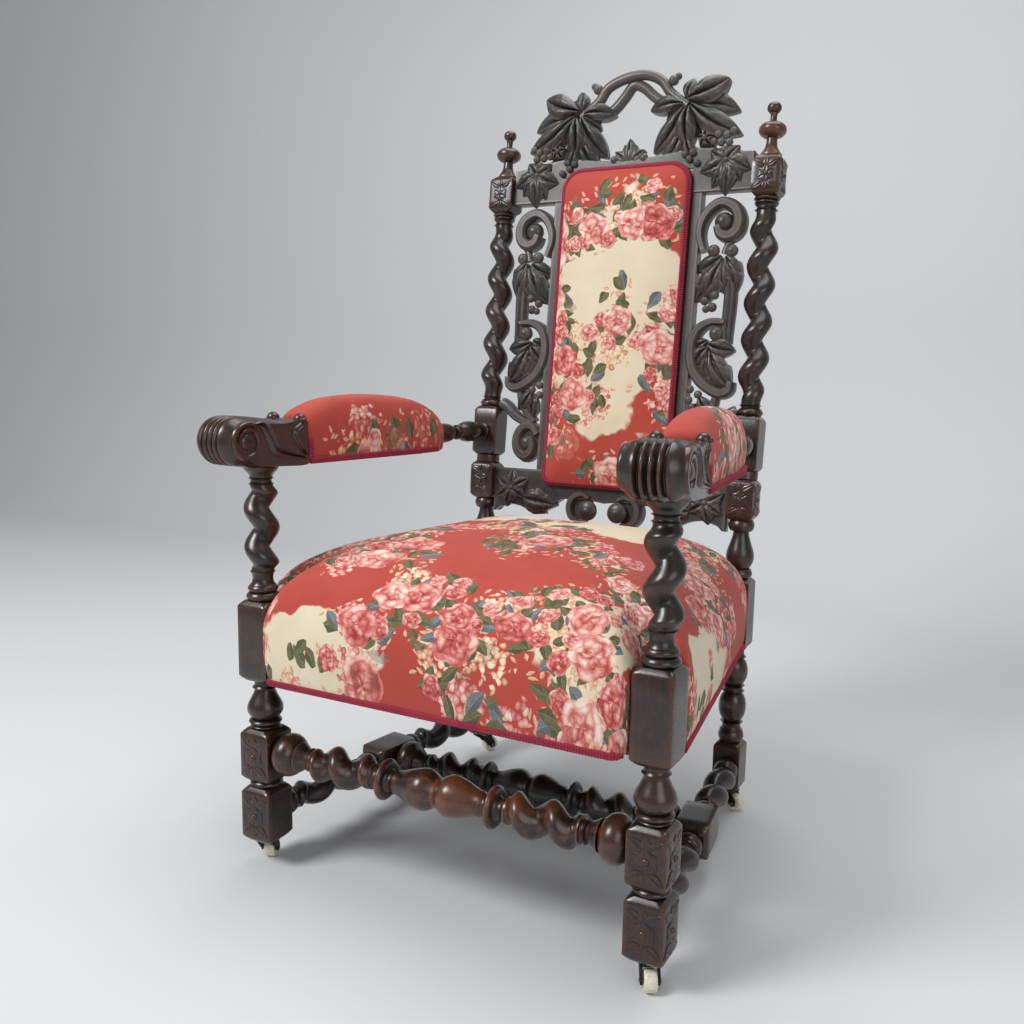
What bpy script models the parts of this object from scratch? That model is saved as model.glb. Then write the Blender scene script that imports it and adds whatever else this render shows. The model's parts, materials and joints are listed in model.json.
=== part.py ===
"""Carved oak open armchair: barley-twist legs, posts and stretchers, pierced vine carving,
sprung seat, padded arms and back, swivelling castors with ceramic wheels.

Metres, +Z up. The chair faces -Y, and left and right are as seen from the front.
While it is built, y = 0 is the line through the front legs; the finished chair is
centred on its own box, with the floor at z = 0.
"""

import math

import bmesh
import bpy
from mathutils import Matrix, Vector

# Clearances
FIT = 0.0003                    # between two pieces that touch
WHEEL_PLAY = 0.0012             # between a castor wheel and its horn's cheeks

# Plan of the frame
FRONT_HALF = 0.293              # chair centre to a front leg's axis
BACK_HALF = 0.234               # chair centre to a back post's axis
DEPTH = 0.518                   # front leg axes to back post axes at the floor
LEG_HALF = 0.0255               # half the square of a front leg's blocks
POST_HALF = 0.0222              # half the square of a back post's blocks
BLOCK_CHAMFER = 0.004

# Heights of the frame
CASTOR_HEIGHT = 0.036
LOWER_BLOCK = 0.0800            # lengths of the square blocks
MID_BLOCK = 0.0765
MID_BLOCK_Z = 0.1640             # middle of the front legs' middle blocks
SEAT_BLOCK = 0.114
SEAT_BLOCK_Z = 0.3305            # middle of the seat blocks
FRONT_STRETCHER_Z = 0.1693
SIDE_STRETCHER_Z = CASTOR_HEIGHT + LOWER_BLOCK / 2
ARM_UNDERSIDE = 0.5745
ARM_AXIS_RISE = 0.0275          # axis of an arm's core and rear turning, above the arm's underside

# Raked back: heights up the back are measured along its slope from the floor
KNEE_Z = 0.514                  # where the posts turn from upright to raked
RAKE = math.radians(6.3)
KNEE_BLOCK = 0.064
ARM_BLOCK_BELOW = 0.0443        # reach of the posts' arm blocks either side of the arms' axis
ARM_BLOCK_ABOVE = 0.043
TOP_BLOCK_LOW = 0.9862
TOP_BLOCK_HIGH = 1.0482
FINIAL_LENGTH = 0.083

# Turnings
BEAD = 0.0232                   # radii
BALL = 0.0250
NECK = 0.0140
POST_BEAD = 0.0205
POST_BALL = 0.0218
POST_NECK = 0.0145
STRETCHER_BALL = 0.0265
STRETCHER_NECK = 0.0130
STRETCHER_RING = 0.0275
SIDE_BEAD = 0.0190
LEG_TWIST = 0.0262              # outer radii of the twists
POST_TWIST = 0.0232
STRETCHER_TWIST = 0.0270
SIDE_TWIST = 0.0225
TWIST_DEPTH = 0.31              # shift of the strand, as a share of the outer radius
LEG_TURNS = 2.25
POST_TURNS = 5.3
STRETCHER_TURNS = 2.0
SIDE_TURNS = 2.0
TWIST_STEPS = 6                 # rings in one turn
TURNED_SIDES = 8                # faces round a turning; a multiple of four
ROUND_SIDES = 12                # faces round an eye or a roundel

# Tenons
DOWEL = 0.0085                  # radius of a round tenon
DOWEL_LENGTH = 0.017
TENON_HALF = 0.0055             # half thickness of a flat tenon
TENON_LENGTH = 0.016
FINIAL_DOWEL = 0.0060

# Side stretcher's middle block
MIDDLE_BLOCK_LENGTH = 0.088
MIDDLE_BLOCK_HALF = 0.0240

# Seat
RAIL_BOTTOM = 0.2815
RAIL_HEIGHT = 0.065
RAIL_THICKNESS = 0.025
SEAT_HEM = 0.2775               # lower edge of the cover
SEAT_CROWN = 0.4825
SEAT_PROUD = 0.013              # front cover before the leg blocks' front faces
SEAT_CORNER = 0.022             # rounding of the crown's corners
SPRING_TOP = 0.402
SPRING_RADIUS = 0.033
SPRING_WAIST = 0.022
SPRING_WIRE = 0.0020
SPRING_TURNS = 3.25
SPRING_STEPS = 6                # points in one turn of a spring
SPRING_SPREAD_X = 0.135
SPRING_SPREAD_Y = 0.130
SEAT_MIDDLE_Y = 0.250
WEB_THICKNESS = 0.0020
CLOTH_THICKNESS = 0.0012
CORNER_BLOCK_HEIGHT = 0.045

# Arms
ARM_WIDTH = 0.068
NOSE_RADIUS = 0.033
NOSE_REACH = 0.088              # front leg axis to the tip of the arm
NOSE_LIFT = 0.004               # underside of the nose above the arm's underside
EYE_RADIUS = 0.0165             # raised volute eye, in the middle of the nose
CORE_HALF_WIDTH = 0.020
CORE_HALF_HEIGHT = 0.0215
ARM_PAD_FRONT = 0.056           # front leg axis to the pad
ARM_PAD_LENGTH = 0.316
ARM_PAD_RISE = 0.0955           # crown of an arm pad above the arm's underside
ARM_PAD_HALF = 0.0355

# Back
BACK_PAD_HALF = 0.1146
BACK_PAD_LOW = 0.5125
BACK_PAD_HIGH = 1.0496
BACK_PAD_CORNER = 0.034
BACK_PAD_CROWN = 0.030
STILE_WIDTH = 0.027
BOARD = 0.022                   # thickness of the carved back boards
LOWER_RAIL_LOW = 0.486
LOWER_RAIL_HIGH = 0.5374
CREST_LOW = 0.9984               # underside of the crest rail beside the pad
CREST_UNDER = 1.037             # underside of the crest rail behind the pad
CREST_SHOULDER = 1.0593          # top of the crest rail at the posts
CREST_RIDGE = 1.059             # top of the crest rail's board in the middle
CREST_TOP = 1.2086
STRIP_WIDTH = 0.0165            # plain inner strip of a side carving
OUTSIDE_BACK = 0.004

# Castors
PLATE_RADIUS = 0.0190
PLATE_THICKNESS = 0.0030
PIVOT_RADIUS = 0.0040
PIVOT_HEAD = 0.0065
PIVOT_HEAD_THICKNESS = 0.0020
HORN_BRIDGE = 0.0040
HORN_CHEEK = 0.0030
AXLE_RADIUS = 0.0025
WHEEL_RADIUS = 0.0135
WHEEL_WIDTH = 0.0155
WHEEL_SIDES = 12
CASTOR_TRAIL = 0.0140
CASTOR_TURN = {                 # degrees each castor has swivelled, from trailing forward
    "front_right": 28, "front_left": 205, "back_right": 78, "back_left": 150,
}

# Worked out from the sizes above
SIDE_ANGLE = math.atan2(FRONT_HALF - BACK_HALF, DEPTH)
SIDE_RUN = math.hypot(FRONT_HALF - BACK_HALF, DEPTH)
ARM_AXIS_Z = ARM_UNDERSIDE + ARM_AXIS_RISE
ARM_BLOCK_LOW = ARM_AXIS_Z - ARM_BLOCK_BELOW
ARM_BLOCK_HIGH = ARM_AXIS_Z + ARM_BLOCK_ABOVE
ARM_POST_Y = DEPTH + (ARM_AXIS_Z - KNEE_Z) * math.tan(RAKE)
ARM_ANGLE = math.atan2(FRONT_HALF - BACK_HALF, ARM_POST_Y)
ARM_RUN = math.hypot(FRONT_HALF - BACK_HALF, ARM_POST_Y)
RAIL_TOP = RAIL_BOTTOM + RAIL_HEIGHT
RAIL_Z = RAIL_BOTTOM + RAIL_HEIGHT / 2
LEG_TENON_TOP = ARM_UNDERSIDE + DOWEL_LENGTH
SIDES = {"left": -1, "right": 1}

OAK = ("oak", (0.045, 0.026, 0.018), 0.42, 0.0)
COVER = ("printed_cover", (0.60, 0.12, 0.09), 0.85, 0.0)
HESSIAN = ("hessian", (0.42, 0.32, 0.20), 0.95, 0.0)
BLACK_CLOTH = ("black_cloth", (0.02, 0.02, 0.02), 0.95, 0.0)
STEEL = ("steel", (0.30, 0.30, 0.31), 0.35, 1.0)
IRON = ("iron", (0.05, 0.045, 0.04), 0.50, 1.0)
CERAMIC = ("ceramic", (0.80, 0.76, 0.66), 0.25, 0.0)


# Objects and solids

def clear_scene():
    for item in list(bpy.data.objects):
        bpy.data.objects.remove(item, do_unlink=True)


def add_empty(name, parent=None, location=(0, 0, 0), rotation=(0, 0, 0)):
    empty = bpy.data.objects.new(name, None)
    bpy.context.scene.collection.objects.link(empty)
    empty.parent = parent
    empty.location = location
    empty.rotation_euler = rotation
    return empty


def material(finish, node):
    name, colour, roughness, metallic = finish
    made = bpy.data.materials.new(f"{node}_{name}")
    made.use_nodes = True
    shader = made.node_tree.nodes["Principled BSDF"]
    shader.inputs["Base Color"].default_value = (*colour, 1.0)
    shader.inputs["Roughness"].default_value = roughness
    shader.inputs["Metallic"].default_value = metallic
    made.diffuse_color = (*colour, 1.0)
    return made


def add_piece(name, solid, finish, parent, location=(0, 0, 0), rotation=(0, 0, 0)):
    """One named piece from a closed solid, shaded smooth across gentle edges."""
    mesh = bpy.data.meshes.new(name)
    solid.to_mesh(mesh)
    solid.free()
    mesh.shade_smooth()
    mesh.set_sharp_from_angle(angle=math.radians(40))
    mesh.materials.append(material(finish, name))
    piece = bpy.data.objects.new(name, mesh)
    bpy.context.scene.collection.objects.link(piece)
    piece.parent = parent
    piece.location = location
    piece.rotation_euler = rotation
    return piece


def close_up(solid):
    bmesh.ops.recalc_face_normals(solid, faces=solid.faces)
    return solid


def skin(rings, closed=False):
    """Solid through rings of matching points, capped at both ends or joined end to end."""
    solid = bmesh.new()
    loops = [[solid.verts.new(point) for point in ring] for ring in rings]
    pairs = list(zip(loops, loops[1:]))
    if closed:
        pairs.append((loops[-1], loops[0]))
    else:
        solid.faces.new(loops[0])
        solid.faces.new(loops[-1])
    for low, high in pairs:
        for i in range(len(low)):
            j = (i + 1) % len(low)
            solid.faces.new((low[i], low[j], high[j], high[i]))
    return close_up(solid)


def plate(outline, place, near, far):
    """Flat outline carried from one depth to another by place(across, up, depth)."""
    return skin([[place(a, b, depth) for a, b in outline] for depth in (near, far)])


def boolean(base, tool, operation):
    """The base solid with a tool, whose own parts may overlap, united with it or cut from it."""
    work = []
    for solid in (base, tool):
        mesh = bpy.data.meshes.new("work")
        solid.to_mesh(mesh)
        solid.free()
        item = bpy.data.objects.new("work", mesh)
        bpy.context.scene.collection.objects.link(item)
        work.append(item)
    step = work[0].modifiers.new("step", "BOOLEAN")
    step.operation = operation
    step.solver = "EXACT"
    step.use_self = True
    step.object = work[1]
    result = bmesh.new()
    result.from_object(work[0], bpy.context.evaluated_depsgraph_get())
    for item in work:
        mesh = item.data
        bpy.data.objects.remove(item, do_unlink=True)
        bpy.data.meshes.remove(mesh)
    bmesh.ops.remove_doubles(result, verts=result.verts, dist=1e-6)
    bmesh.ops.dissolve_degenerate(result, edges=result.edges, dist=1e-6)
    return close_up(result)


def gather(solids):
    """Several solids as the parts of one."""
    joined = bmesh.new()
    for solid in solids:
        mesh = bpy.data.meshes.new("work")
        solid.to_mesh(mesh)
        solid.free()
        joined.from_mesh(mesh)
        bpy.data.meshes.remove(mesh)
    return joined


def fuse(solids):
    return boolean(solids[0], gather(solids[1:]), "UNION")


def carve(solid, cutters):
    return boolean(solid, gather(cutters), "DIFFERENCE")


def moved(solid, offset):
    bmesh.ops.translate(solid, vec=Vector(offset), verts=solid.verts)
    return solid


def mirrored(solid):
    """Copy of a solid reflected across x = 0."""
    copy = solid.copy()
    bmesh.ops.scale(copy, vec=Vector((-1, 1, 1)), verts=copy.verts)
    return close_up(copy)


def aimed(start, end, up=(0, 0, 1)):
    """Matrix whose Z runs from start to end and whose Y stays near up."""
    z = (Vector(end) - Vector(start)).normalized()
    x = Vector(up).cross(z).normalized()
    y = z.cross(x)
    frame = Matrix((x, y, z)).transposed().to_4x4()
    frame.translation = Vector(start)
    return frame


def rod(start, end, radius, sides=TURNED_SIDES):
    frame = aimed(start, end, up=(0.01, 0.02, 1))
    length = (Vector(end) - Vector(start)).length
    turns = [2 * math.pi * (i + 0.5) / sides for i in range(sides)]
    return skin([[frame @ Vector((radius * math.cos(t), radius * math.sin(t), s)) for t in turns]
                 for s in (0, length)])


def bar(start, end, half_width, half_height, up=(0, 0, 1)):
    return stepped_bar(start, end, [(0, half_width, half_height), (1, half_width, half_height)], up=up)


def stepped_bar(start, end, sections, skew=0.0, up=(0, 0, 1)):
    """Bar of (share of the way or distance, half width, half height) sections; skew slants its shoulders."""
    frame = aimed(start, end, up)
    length = (Vector(end) - Vector(start)).length
    rings = []
    for at, wide, high in sections:
        s = at * length
        rings.append([frame @ Vector((x, y, s + skew * x))
                      for x, y in ((-wide, -high), (wide, -high), (wide, high), (-wide, high))])
    return skin(rings)


def around(radius, sides=TURNED_SIDES):
    """Radius of a faceted hole whose flats clear a pin of the given radius."""
    return (radius + FIT) / math.cos(math.pi / sides)


def hole(shoulder, tip, radius):
    """Cutter for the round mortise that a tenon from shoulder to tip enters."""
    run = (Vector(tip) - Vector(shoulder)).normalized()
    return rod(Vector(shoulder) - run * DOWEL_LENGTH, Vector(tip) + run * FIT, around(radius))


def slot(shoulder, tip, half_width, half_height, up=(0, 0, 1)):
    """Cutter for a flat mortise, deep enough for a slanting tip."""
    run = (Vector(tip) - Vector(shoulder)).normalized()
    spare = FIT + half_width * math.tan(SIDE_ANGLE)
    return bar(Vector(shoulder) - run * TENON_LENGTH, Vector(tip) + run * spare,
               half_width + FIT, half_height + FIT, up)


class Turning:
    """Rings along a member that is partly square, partly turned and partly twisted."""

    def __init__(self, sides):
        self.angles = [math.pi / 4 + 2 * math.pi * i / sides for i in range(sides)]
        self.rings = []

    def ring(self, at, half, square=False, half_y=None, shift=(0.0, 0.0)):
        points = []
        for angle in self.angles:
            x, y = math.cos(angle), math.sin(angle)
            if square:
                reach = max(abs(x), abs(y))
                x, y = x / reach, y / reach
            points.append((x * half + shift[0], y * (half if half_y is None else half_y) + shift[1]))
        self.rings.append((at, points))

    def block(self, low, high, half):
        for at, size in ((low, half - BLOCK_CHAMFER), (low + BLOCK_CHAMFER, half),
                         (high - BLOCK_CHAMFER, half), (high, half - BLOCK_CHAMFER)):
            self.ring(at, size, square=True)

    def span(self, low, high, pattern):
        """Fill low to high with (form, share, radius) turnings, stretched to fit."""
        unit = (high - low) / sum(share for _, share, _ in pattern)
        at = low
        for form, share, radius in pattern:
            length = share * unit
            for part, size in FORMS[form]:
                self.ring(at + part * length, size * radius)
            at += length

    def twist(self, low, high, radius, turns, hand):
        """Single strand wound round the axis; hand 1 climbs to the right as seen from outside."""
        steps = round(turns * TWIST_STEPS)
        shift = TWIST_DEPTH * radius
        for step in range(steps + 1):
            share = step / steps
            swell = min(1.0, 8 * share, 8 * (1 - share))
            angle = hand * (2 * math.pi * turns * share - math.pi / 2)
            offset = shift * swell
            self.ring(low + share * (high - low), radius - shift,
                      shift=(offset * math.cos(angle), offset * math.sin(angle)))

    def solid(self, place=lambda x, y, s: Vector((x, y, s))):
        return skin([[place(x, y, at) for x, y in points] for at, points in self.rings])


# Each form is (share of its length, share of its radius)
FORMS = {
    "bead": ((0.15, 0.88), (0.5, 1.0), (0.85, 0.88)),
    "fillet": ((0.2, 1.0), (0.8, 1.0)),
    "ball": ((0.06, 0.64), (0.34, 0.97), (0.66, 0.97), (0.94, 0.64)),
    "neck": ((0.5, 1.0),),
    "vase": ((0.05, 0.70), (0.30, 1.0), (0.60, 0.86), (0.95, 0.58)),
    "vase_down": ((0.05, 0.58), (0.40, 0.86), (0.70, 1.0), (0.95, 0.70)),
    "flare": ((0.1, 0.62), (0.5, 0.80), (1.0, 1.0)),
}


# Legs and posts

def frame_points(side):
    """Axis points of a front leg and a back post, on the floor."""
    return Vector((side * FRONT_HALF, 0, 0)), Vector((side * BACK_HALF, DEPTH, 0))


def side_point(side, distance, z):
    """Point on the line from a front leg's axis to the back post's axis."""
    front, back = frame_points(side)
    return front + (back - front) * (distance / SIDE_RUN) + Vector((0, 0, z))


def side_shoulder(half):
    """Distance from an axis to where a side member's shoulder clears the block's face."""
    return (half + FIT) / math.cos(SIDE_ANGLE)


def rail_joint(side, at_back):
    """Shoulder and tip of a side rail's tenon."""
    half = POST_HALF if at_back else LEG_HALF
    near = side_shoulder(half)
    ends = (near, near - TENON_LENGTH)
    return [side_point(side, SIDE_RUN - d if at_back else d, RAIL_Z) for d in ends]


def stretcher_joint(side, at_back):
    """Shoulder and tip of a side stretcher's dowel, set back for its slanting run."""
    half = POST_HALF if at_back else LEG_HALF
    near = side_shoulder(half) + DOWEL * math.tan(SIDE_ANGLE)
    ends = (near, near - DOWEL_LENGTH)
    return [side_point(side, SIDE_RUN - d if at_back else d, SIDE_STRETCHER_Z) for d in ends]


def cross_joint(side, half, z, y, length):
    """Shoulder and tip of a crosswise member's tenon at a block of the given half square."""
    axis = FRONT_HALF if y == 0 else BACK_HALF
    shoulder = Vector((side * (axis - half - FIT), y, z))
    return shoulder, shoulder + Vector((side * length, 0, 0))


def build_front_leg(parent, name, side):
    origin, _ = frame_points(side)
    leg = Turning(TURNED_SIDES)
    lower = SIDE_STRETCHER_Z + LOWER_BLOCK / 2
    middle = (MID_BLOCK_Z - MID_BLOCK / 2, MID_BLOCK_Z + MID_BLOCK / 2)
    seat = (SEAT_BLOCK_Z - SEAT_BLOCK / 2, SEAT_BLOCK_Z + SEAT_BLOCK / 2)
    twist_low = seat[1] + 0.32 * (ARM_UNDERSIDE - seat[1]) * 0.68
    twist_high = ARM_UNDERSIDE - 0.13 * (ARM_UNDERSIDE - seat[1])
    leg.block(CASTOR_HEIGHT, lower, LEG_HALF)
    leg.span(lower, middle[0], [("bead", 1, BEAD)])
    leg.block(*middle, LEG_HALF)
    leg.span(middle[1], seat[0], [("bead", 14, BEAD), ("vase", 46, BALL), ("neck", 12, NECK)])
    leg.block(*seat, LEG_HALF)
    leg.span(seat[1], twist_low, [("neck", 6, BALL * 0.8), ("bead", 20, BEAD), ("neck", 14, NECK)])
    leg.twist(twist_low, twist_high, LEG_TWIST, LEG_TURNS, side)
    leg.span(twist_high, ARM_UNDERSIDE - FIT, [("neck", 8, NECK), ("flare", 16, BALL)])
    leg.ring(ARM_UNDERSIDE - FIT, DOWEL)
    leg.ring(LEG_TENON_TOP, DOWEL)
    cuts = [hole(*stretcher_joint(side, False), DOWEL),
            slot(*rail_joint(side, False), TENON_HALF, RAIL_HEIGHT * 0.36),
            hole(*cross_joint(side, LEG_HALF, FRONT_STRETCHER_Z, 0, DOWEL_LENGTH), DOWEL),
            slot(*cross_joint(side, LEG_HALF, RAIL_Z, 0, TENON_LENGTH), TENON_HALF, RAIL_HEIGHT * 0.36)]
    solid = carve(leg.solid(), [moved(cut, -origin) for cut in cuts])
    add_piece(name, solid, OAK, parent, origin)


def raked(x, y, s):
    """Point of a post: upright to the knee, then leaning back."""
    if s <= KNEE_Z:
        return Vector((x, y, s))
    up = s - KNEE_Z
    return Vector((x, y * math.cos(RAKE) + up * math.sin(RAKE),
                   KNEE_Z + up * math.cos(RAKE) - y * math.sin(RAKE)))


def arm_point(side, distance, across=0.0, z=ARM_AXIS_Z):
    """Point in the arm's own frame: distance back from the leg's axis, across to its right."""
    turn = Matrix.Rotation(side * ARM_ANGLE, 3, "Z")
    return Vector((side * FRONT_HALF, 0, z)) + turn @ Vector((across, distance, 0))


def arm_shoulder():
    """Distance along the arm to the shoulder of its rear dowel, clear of the leaning post."""
    slope = math.tan(ARM_ANGLE) + math.tan(RAKE)
    return ARM_RUN - (POST_HALF + FIT) / math.cos(ARM_ANGLE) - DOWEL * slope - FIT


def back_joint(side, v, length):
    """Shoulder and tip of a back rail's tenon in the post, in the back's own slope."""
    shoulder = BACK_HALF - POST_HALF - FIT
    ends = (shoulder, shoulder + length)
    up = v - KNEE_Z
    return [Vector((side * x, DEPTH + up * math.sin(RAKE), KNEE_Z + up * math.cos(RAKE))) for x in ends]


def build_back_post(parent, name, side):
    _, origin = frame_points(side)
    post = Turning(TURNED_SIDES)
    lower = SIDE_STRETCHER_Z + LOWER_BLOCK / 2
    seat = (SEAT_BLOCK_Z - SEAT_BLOCK / 2, SEAT_BLOCK_Z + SEAT_BLOCK / 2)
    knee = (KNEE_Z - KNEE_BLOCK / 2, KNEE_Z + KNEE_BLOCK / 2)
    twist_run = TOP_BLOCK_LOW - ARM_BLOCK_HIGH
    twist = (ARM_BLOCK_HIGH + 0.05 * twist_run, TOP_BLOCK_LOW - 0.06 * twist_run)
    post.block(CASTOR_HEIGHT, lower, POST_HALF)
    post.span(lower, seat[0], [("bead", 18, POST_BEAD), ("neck", 12, POST_NECK), ("ball", 48, POST_BALL),
                               ("neck", 8, POST_NECK), ("ball", 44, POST_BALL), ("neck", 14, POST_NECK)])
    post.block(*seat, POST_HALF)
    post.span(seat[1], knee[0], [("bead", 12, POST_BEAD), ("vase", 46, POST_BALL), ("bead", 14, POST_BEAD)])
    post.block(knee[0], KNEE_Z, POST_HALF)
    post.rings.pop()
    post.block(KNEE_Z, knee[1], POST_HALF)
    post.rings.pop(-4)
    post.span(knee[1], ARM_BLOCK_LOW, [("fillet", 1, POST_BEAD)])
    post.block(ARM_BLOCK_LOW, ARM_BLOCK_HIGH, POST_HALF)
    post.span(ARM_BLOCK_HIGH, twist[0], [("bead", 10, POST_BEAD), ("neck", 6, POST_NECK)])
    post.twist(*twist, POST_TWIST, POST_TURNS, side)
    post.span(twist[1], TOP_BLOCK_LOW, [("neck", 8, POST_NECK), ("bead", 12, POST_BEAD)])
    post.block(TOP_BLOCK_LOW, TOP_BLOCK_HIGH, POST_HALF)
    lean = Vector((0, math.sin(RAKE), math.cos(RAKE)))
    top = origin + raked(0, 0, TOP_BLOCK_HIGH)
    arm_ends = (arm_shoulder(), arm_shoulder() + DOWEL_LENGTH)
    cuts = [hole(*stretcher_joint(side, True), DOWEL),
            slot(*rail_joint(side, True), TENON_HALF, RAIL_HEIGHT * 0.36),
            slot(*cross_joint(side, POST_HALF, RAIL_Z, DEPTH, TENON_LENGTH), TENON_HALF, RAIL_HEIGHT * 0.36),
            slot(*back_joint(side, (LOWER_RAIL_LOW + LOWER_RAIL_HIGH) / 2, TENON_LENGTH), TENON_HALF,
                 (LOWER_RAIL_HIGH - LOWER_RAIL_LOW) * 0.3, up=lean),
            slot(*back_joint(side, (CREST_LOW + CREST_SHOULDER) / 2, TENON_LENGTH), TENON_HALF,
                 (CREST_SHOULDER - CREST_LOW) * 0.3, up=lean),
            hole(*[arm_point(side, d) for d in arm_ends], DOWEL),
            hole(top, top - lean * DOWEL_LENGTH, FINIAL_DOWEL)]
    solid = carve(post.solid(raked), [moved(cut, -origin) for cut in cuts])
    add_piece(name, solid, OAK, parent, origin)


def build_finial(back, name, side):
    """Turned finial on its dowel, standing on the post's top block."""
    finial = Turning(TURNED_SIDES)
    base = TOP_BLOCK_HIGH + FIT
    top = base + FINIAL_LENGTH
    bulb = base + 0.60 * FINIAL_LENGTH
    finial.ring(TOP_BLOCK_HIGH - DOWEL_LENGTH + FIT, FINIAL_DOWEL)
    finial.ring(base, FINIAL_DOWEL)
    finial.span(base, bulb, [("fillet", 8, POST_BALL * 0.80), ("neck", 12, POST_NECK * 0.75),
                             ("bead", 5, POST_NECK), ("ball", 26, POST_TWIST)])
    finial.span(bulb, top, [("neck", 6, POST_NECK * 0.45), ("fillet", 5, POST_NECK * 0.62),
                            ("neck", 4, POST_NECK * 0.40), ("ball", 16, POST_NECK * 0.66)])
    finial.ring(top, 0.0012)
    add_piece(name, finial.solid(), OAK, back, (side * BACK_HALF, 0, -KNEE_Z))


# Stretchers and rails

def twisted_half(member, near, far, hand):
    """Dowel end to middle of a stretcher: ball, twist, disc and half vase."""
    run = far - near
    marks = [near + share * run for share in (0.24, 0.62)]
    member.span(near, marks[0], [("ball", 38, STRETCHER_BALL), ("fillet", 8, STRETCHER_BALL * 0.70),
                                 ("neck", 14, STRETCHER_NECK)])
    member.twist(marks[0], marks[1], STRETCHER_TWIST, STRETCHER_TURNS, hand)
    member.span(marks[1], far, [("neck", 14, STRETCHER_NECK), ("bead", 9, STRETCHER_RING),
                                ("neck", 12, STRETCHER_NECK), ("vase_down", 53, STRETCHER_RING)])


def turned_crosspiece(length, sides):
    """Stretcher of the given shoulder length, with its dowels, centred on its middle."""
    member = Turning(sides)
    member.ring(-DOWEL_LENGTH, DOWEL)
    member.ring(0, DOWEL)
    twisted_half(member, 0, length / 2, 1)
    far = Turning(sides)
    twisted_half(far, 0, length / 2, -1)
    member.ring(length / 2, STRETCHER_RING * 0.92)
    for at, points in reversed(far.rings):
        member.rings.append((length - at, points))
    member.ring(length, DOWEL)
    member.ring(length + DOWEL_LENGTH, DOWEL)
    return member.solid(lambda x, y, s: Vector((s - length / 2, y, -x)))


def build_front_stretcher(parent):
    length = 2 * (FRONT_HALF - LEG_HALF - FIT)
    add_piece("front_stretcher", turned_crosspiece(length, TURNED_SIDES), OAK, parent, (0, 0, FRONT_STRETCHER_Z))


def middle_joint(side):
    """Shoulder and tip of the cross stretcher's dowel in a side stretcher's middle block."""
    middle = side_point(side, SIDE_RUN / 2, SIDE_STRETCHER_Z)
    inset = (MIDDLE_BLOCK_HALF + FIT) / math.cos(SIDE_ANGLE) + DOWEL * math.tan(SIDE_ANGLE)
    shoulder = middle - Vector((side * inset, 0, 0))
    return shoulder, shoulder + Vector((side * DOWEL_LENGTH, 0, 0))


def build_cross_stretcher(parent):
    shoulder, _ = middle_joint(1)
    add_piece("cross_stretcher", turned_crosspiece(2 * shoulder.x, TURNED_SIDES - 2), OAK, parent,
              (0, shoulder.y, SIDE_STRETCHER_Z))


def build_side_stretcher(parent, name, side):
    """Twist, flat-topped block, twist, between the lower blocks of a leg and a post."""
    member = Turning(TURNED_SIDES)
    set_back = DOWEL * math.tan(SIDE_ANGLE)
    start = side_shoulder(LEG_HALF) + set_back
    end = SIDE_RUN - side_shoulder(POST_HALF) - set_back
    block = (SIDE_RUN / 2 - MIDDLE_BLOCK_LENGTH / 2, SIDE_RUN / 2 + MIDDLE_BLOCK_LENGTH / 2)
    member.ring(start - DOWEL_LENGTH, DOWEL)
    member.ring(start, DOWEL)
    for low, high, is_front in ((start, block[0], True), (block[1], end, False)):
        run = high - low
        twist = (low + 0.16 * run, high - 0.16 * run)
        member.span(low, twist[0], [("bead", 18, SIDE_BEAD), ("neck", 9, STRETCHER_NECK)])
        member.twist(*twist, SIDE_TWIST, SIDE_TURNS, side)
        member.span(twist[1], high, [("neck", 9, STRETCHER_NECK), ("bead", 18, SIDE_BEAD)])
        if is_front:
            member.block(*block, MIDDLE_BLOCK_HALF)
    member.ring(end, DOWEL)
    member.ring(end + DOWEL_LENGTH, DOWEL)
    front, _ = frame_points(side)
    frame = aimed(side_point(side, 0, SIDE_STRETCHER_Z), side_point(side, SIDE_RUN, SIDE_STRETCHER_Z))
    solid = member.solid(lambda x, y, s: frame @ Vector((x, y, s)))
    add_piece(name, moved(carve(solid, [hole(*middle_joint(side), DOWEL)]), -front), OAK, parent, front)


def build_crosswise_rail(parent, name, axis, half, y):
    """Front or back seat rail with its two tenons."""
    shoulder = axis - half - FIT
    reach = shoulder + TENON_LENGTH
    shares = [(0, TENON_HALF, RAIL_HEIGHT * 0.36), (TENON_LENGTH / (2 * reach), TENON_HALF, RAIL_HEIGHT * 0.36),
              (TENON_LENGTH / (2 * reach), RAIL_THICKNESS / 2, RAIL_HEIGHT / 2)]
    sections = shares + [(1 - at, wide, high) for at, wide, high in reversed(shares)]
    solid = stepped_bar((-reach, 0, 0), (reach, 0, 0), sections)
    add_piece(name, solid, OAK, parent, (0, y, RAIL_Z))


def build_side_rail(parent, name, side):
    (front_shoulder, front_tip), (back_shoulder, back_tip) = rail_joint(side, False), rail_joint(side, True)
    length = (back_tip - front_tip).length
    ends = [((front_shoulder - front_tip).length / length), 1 - (back_shoulder - back_tip).length / length]
    tenon = (TENON_HALF, RAIL_HEIGHT * 0.36)
    body = (RAIL_THICKNESS / 2, RAIL_HEIGHT / 2)
    sections = [(0, *tenon), (ends[0], *tenon), (ends[0], *body),
                (ends[1], *body), (ends[1], *tenon), (1, *tenon)]
    solid = stepped_bar(front_tip, back_tip, sections, skew=side * math.tan(SIDE_ANGLE))
    add_piece(name, moved(solid, -front_tip), OAK, parent, front_tip)


def inner_side_x(y, inset):
    """Distance from the chair's centre to a side rail's axis line, moved in by inset."""
    return FRONT_HALF - y * math.tan(SIDE_ANGLE) - inset / math.cos(SIDE_ANGLE)


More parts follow.
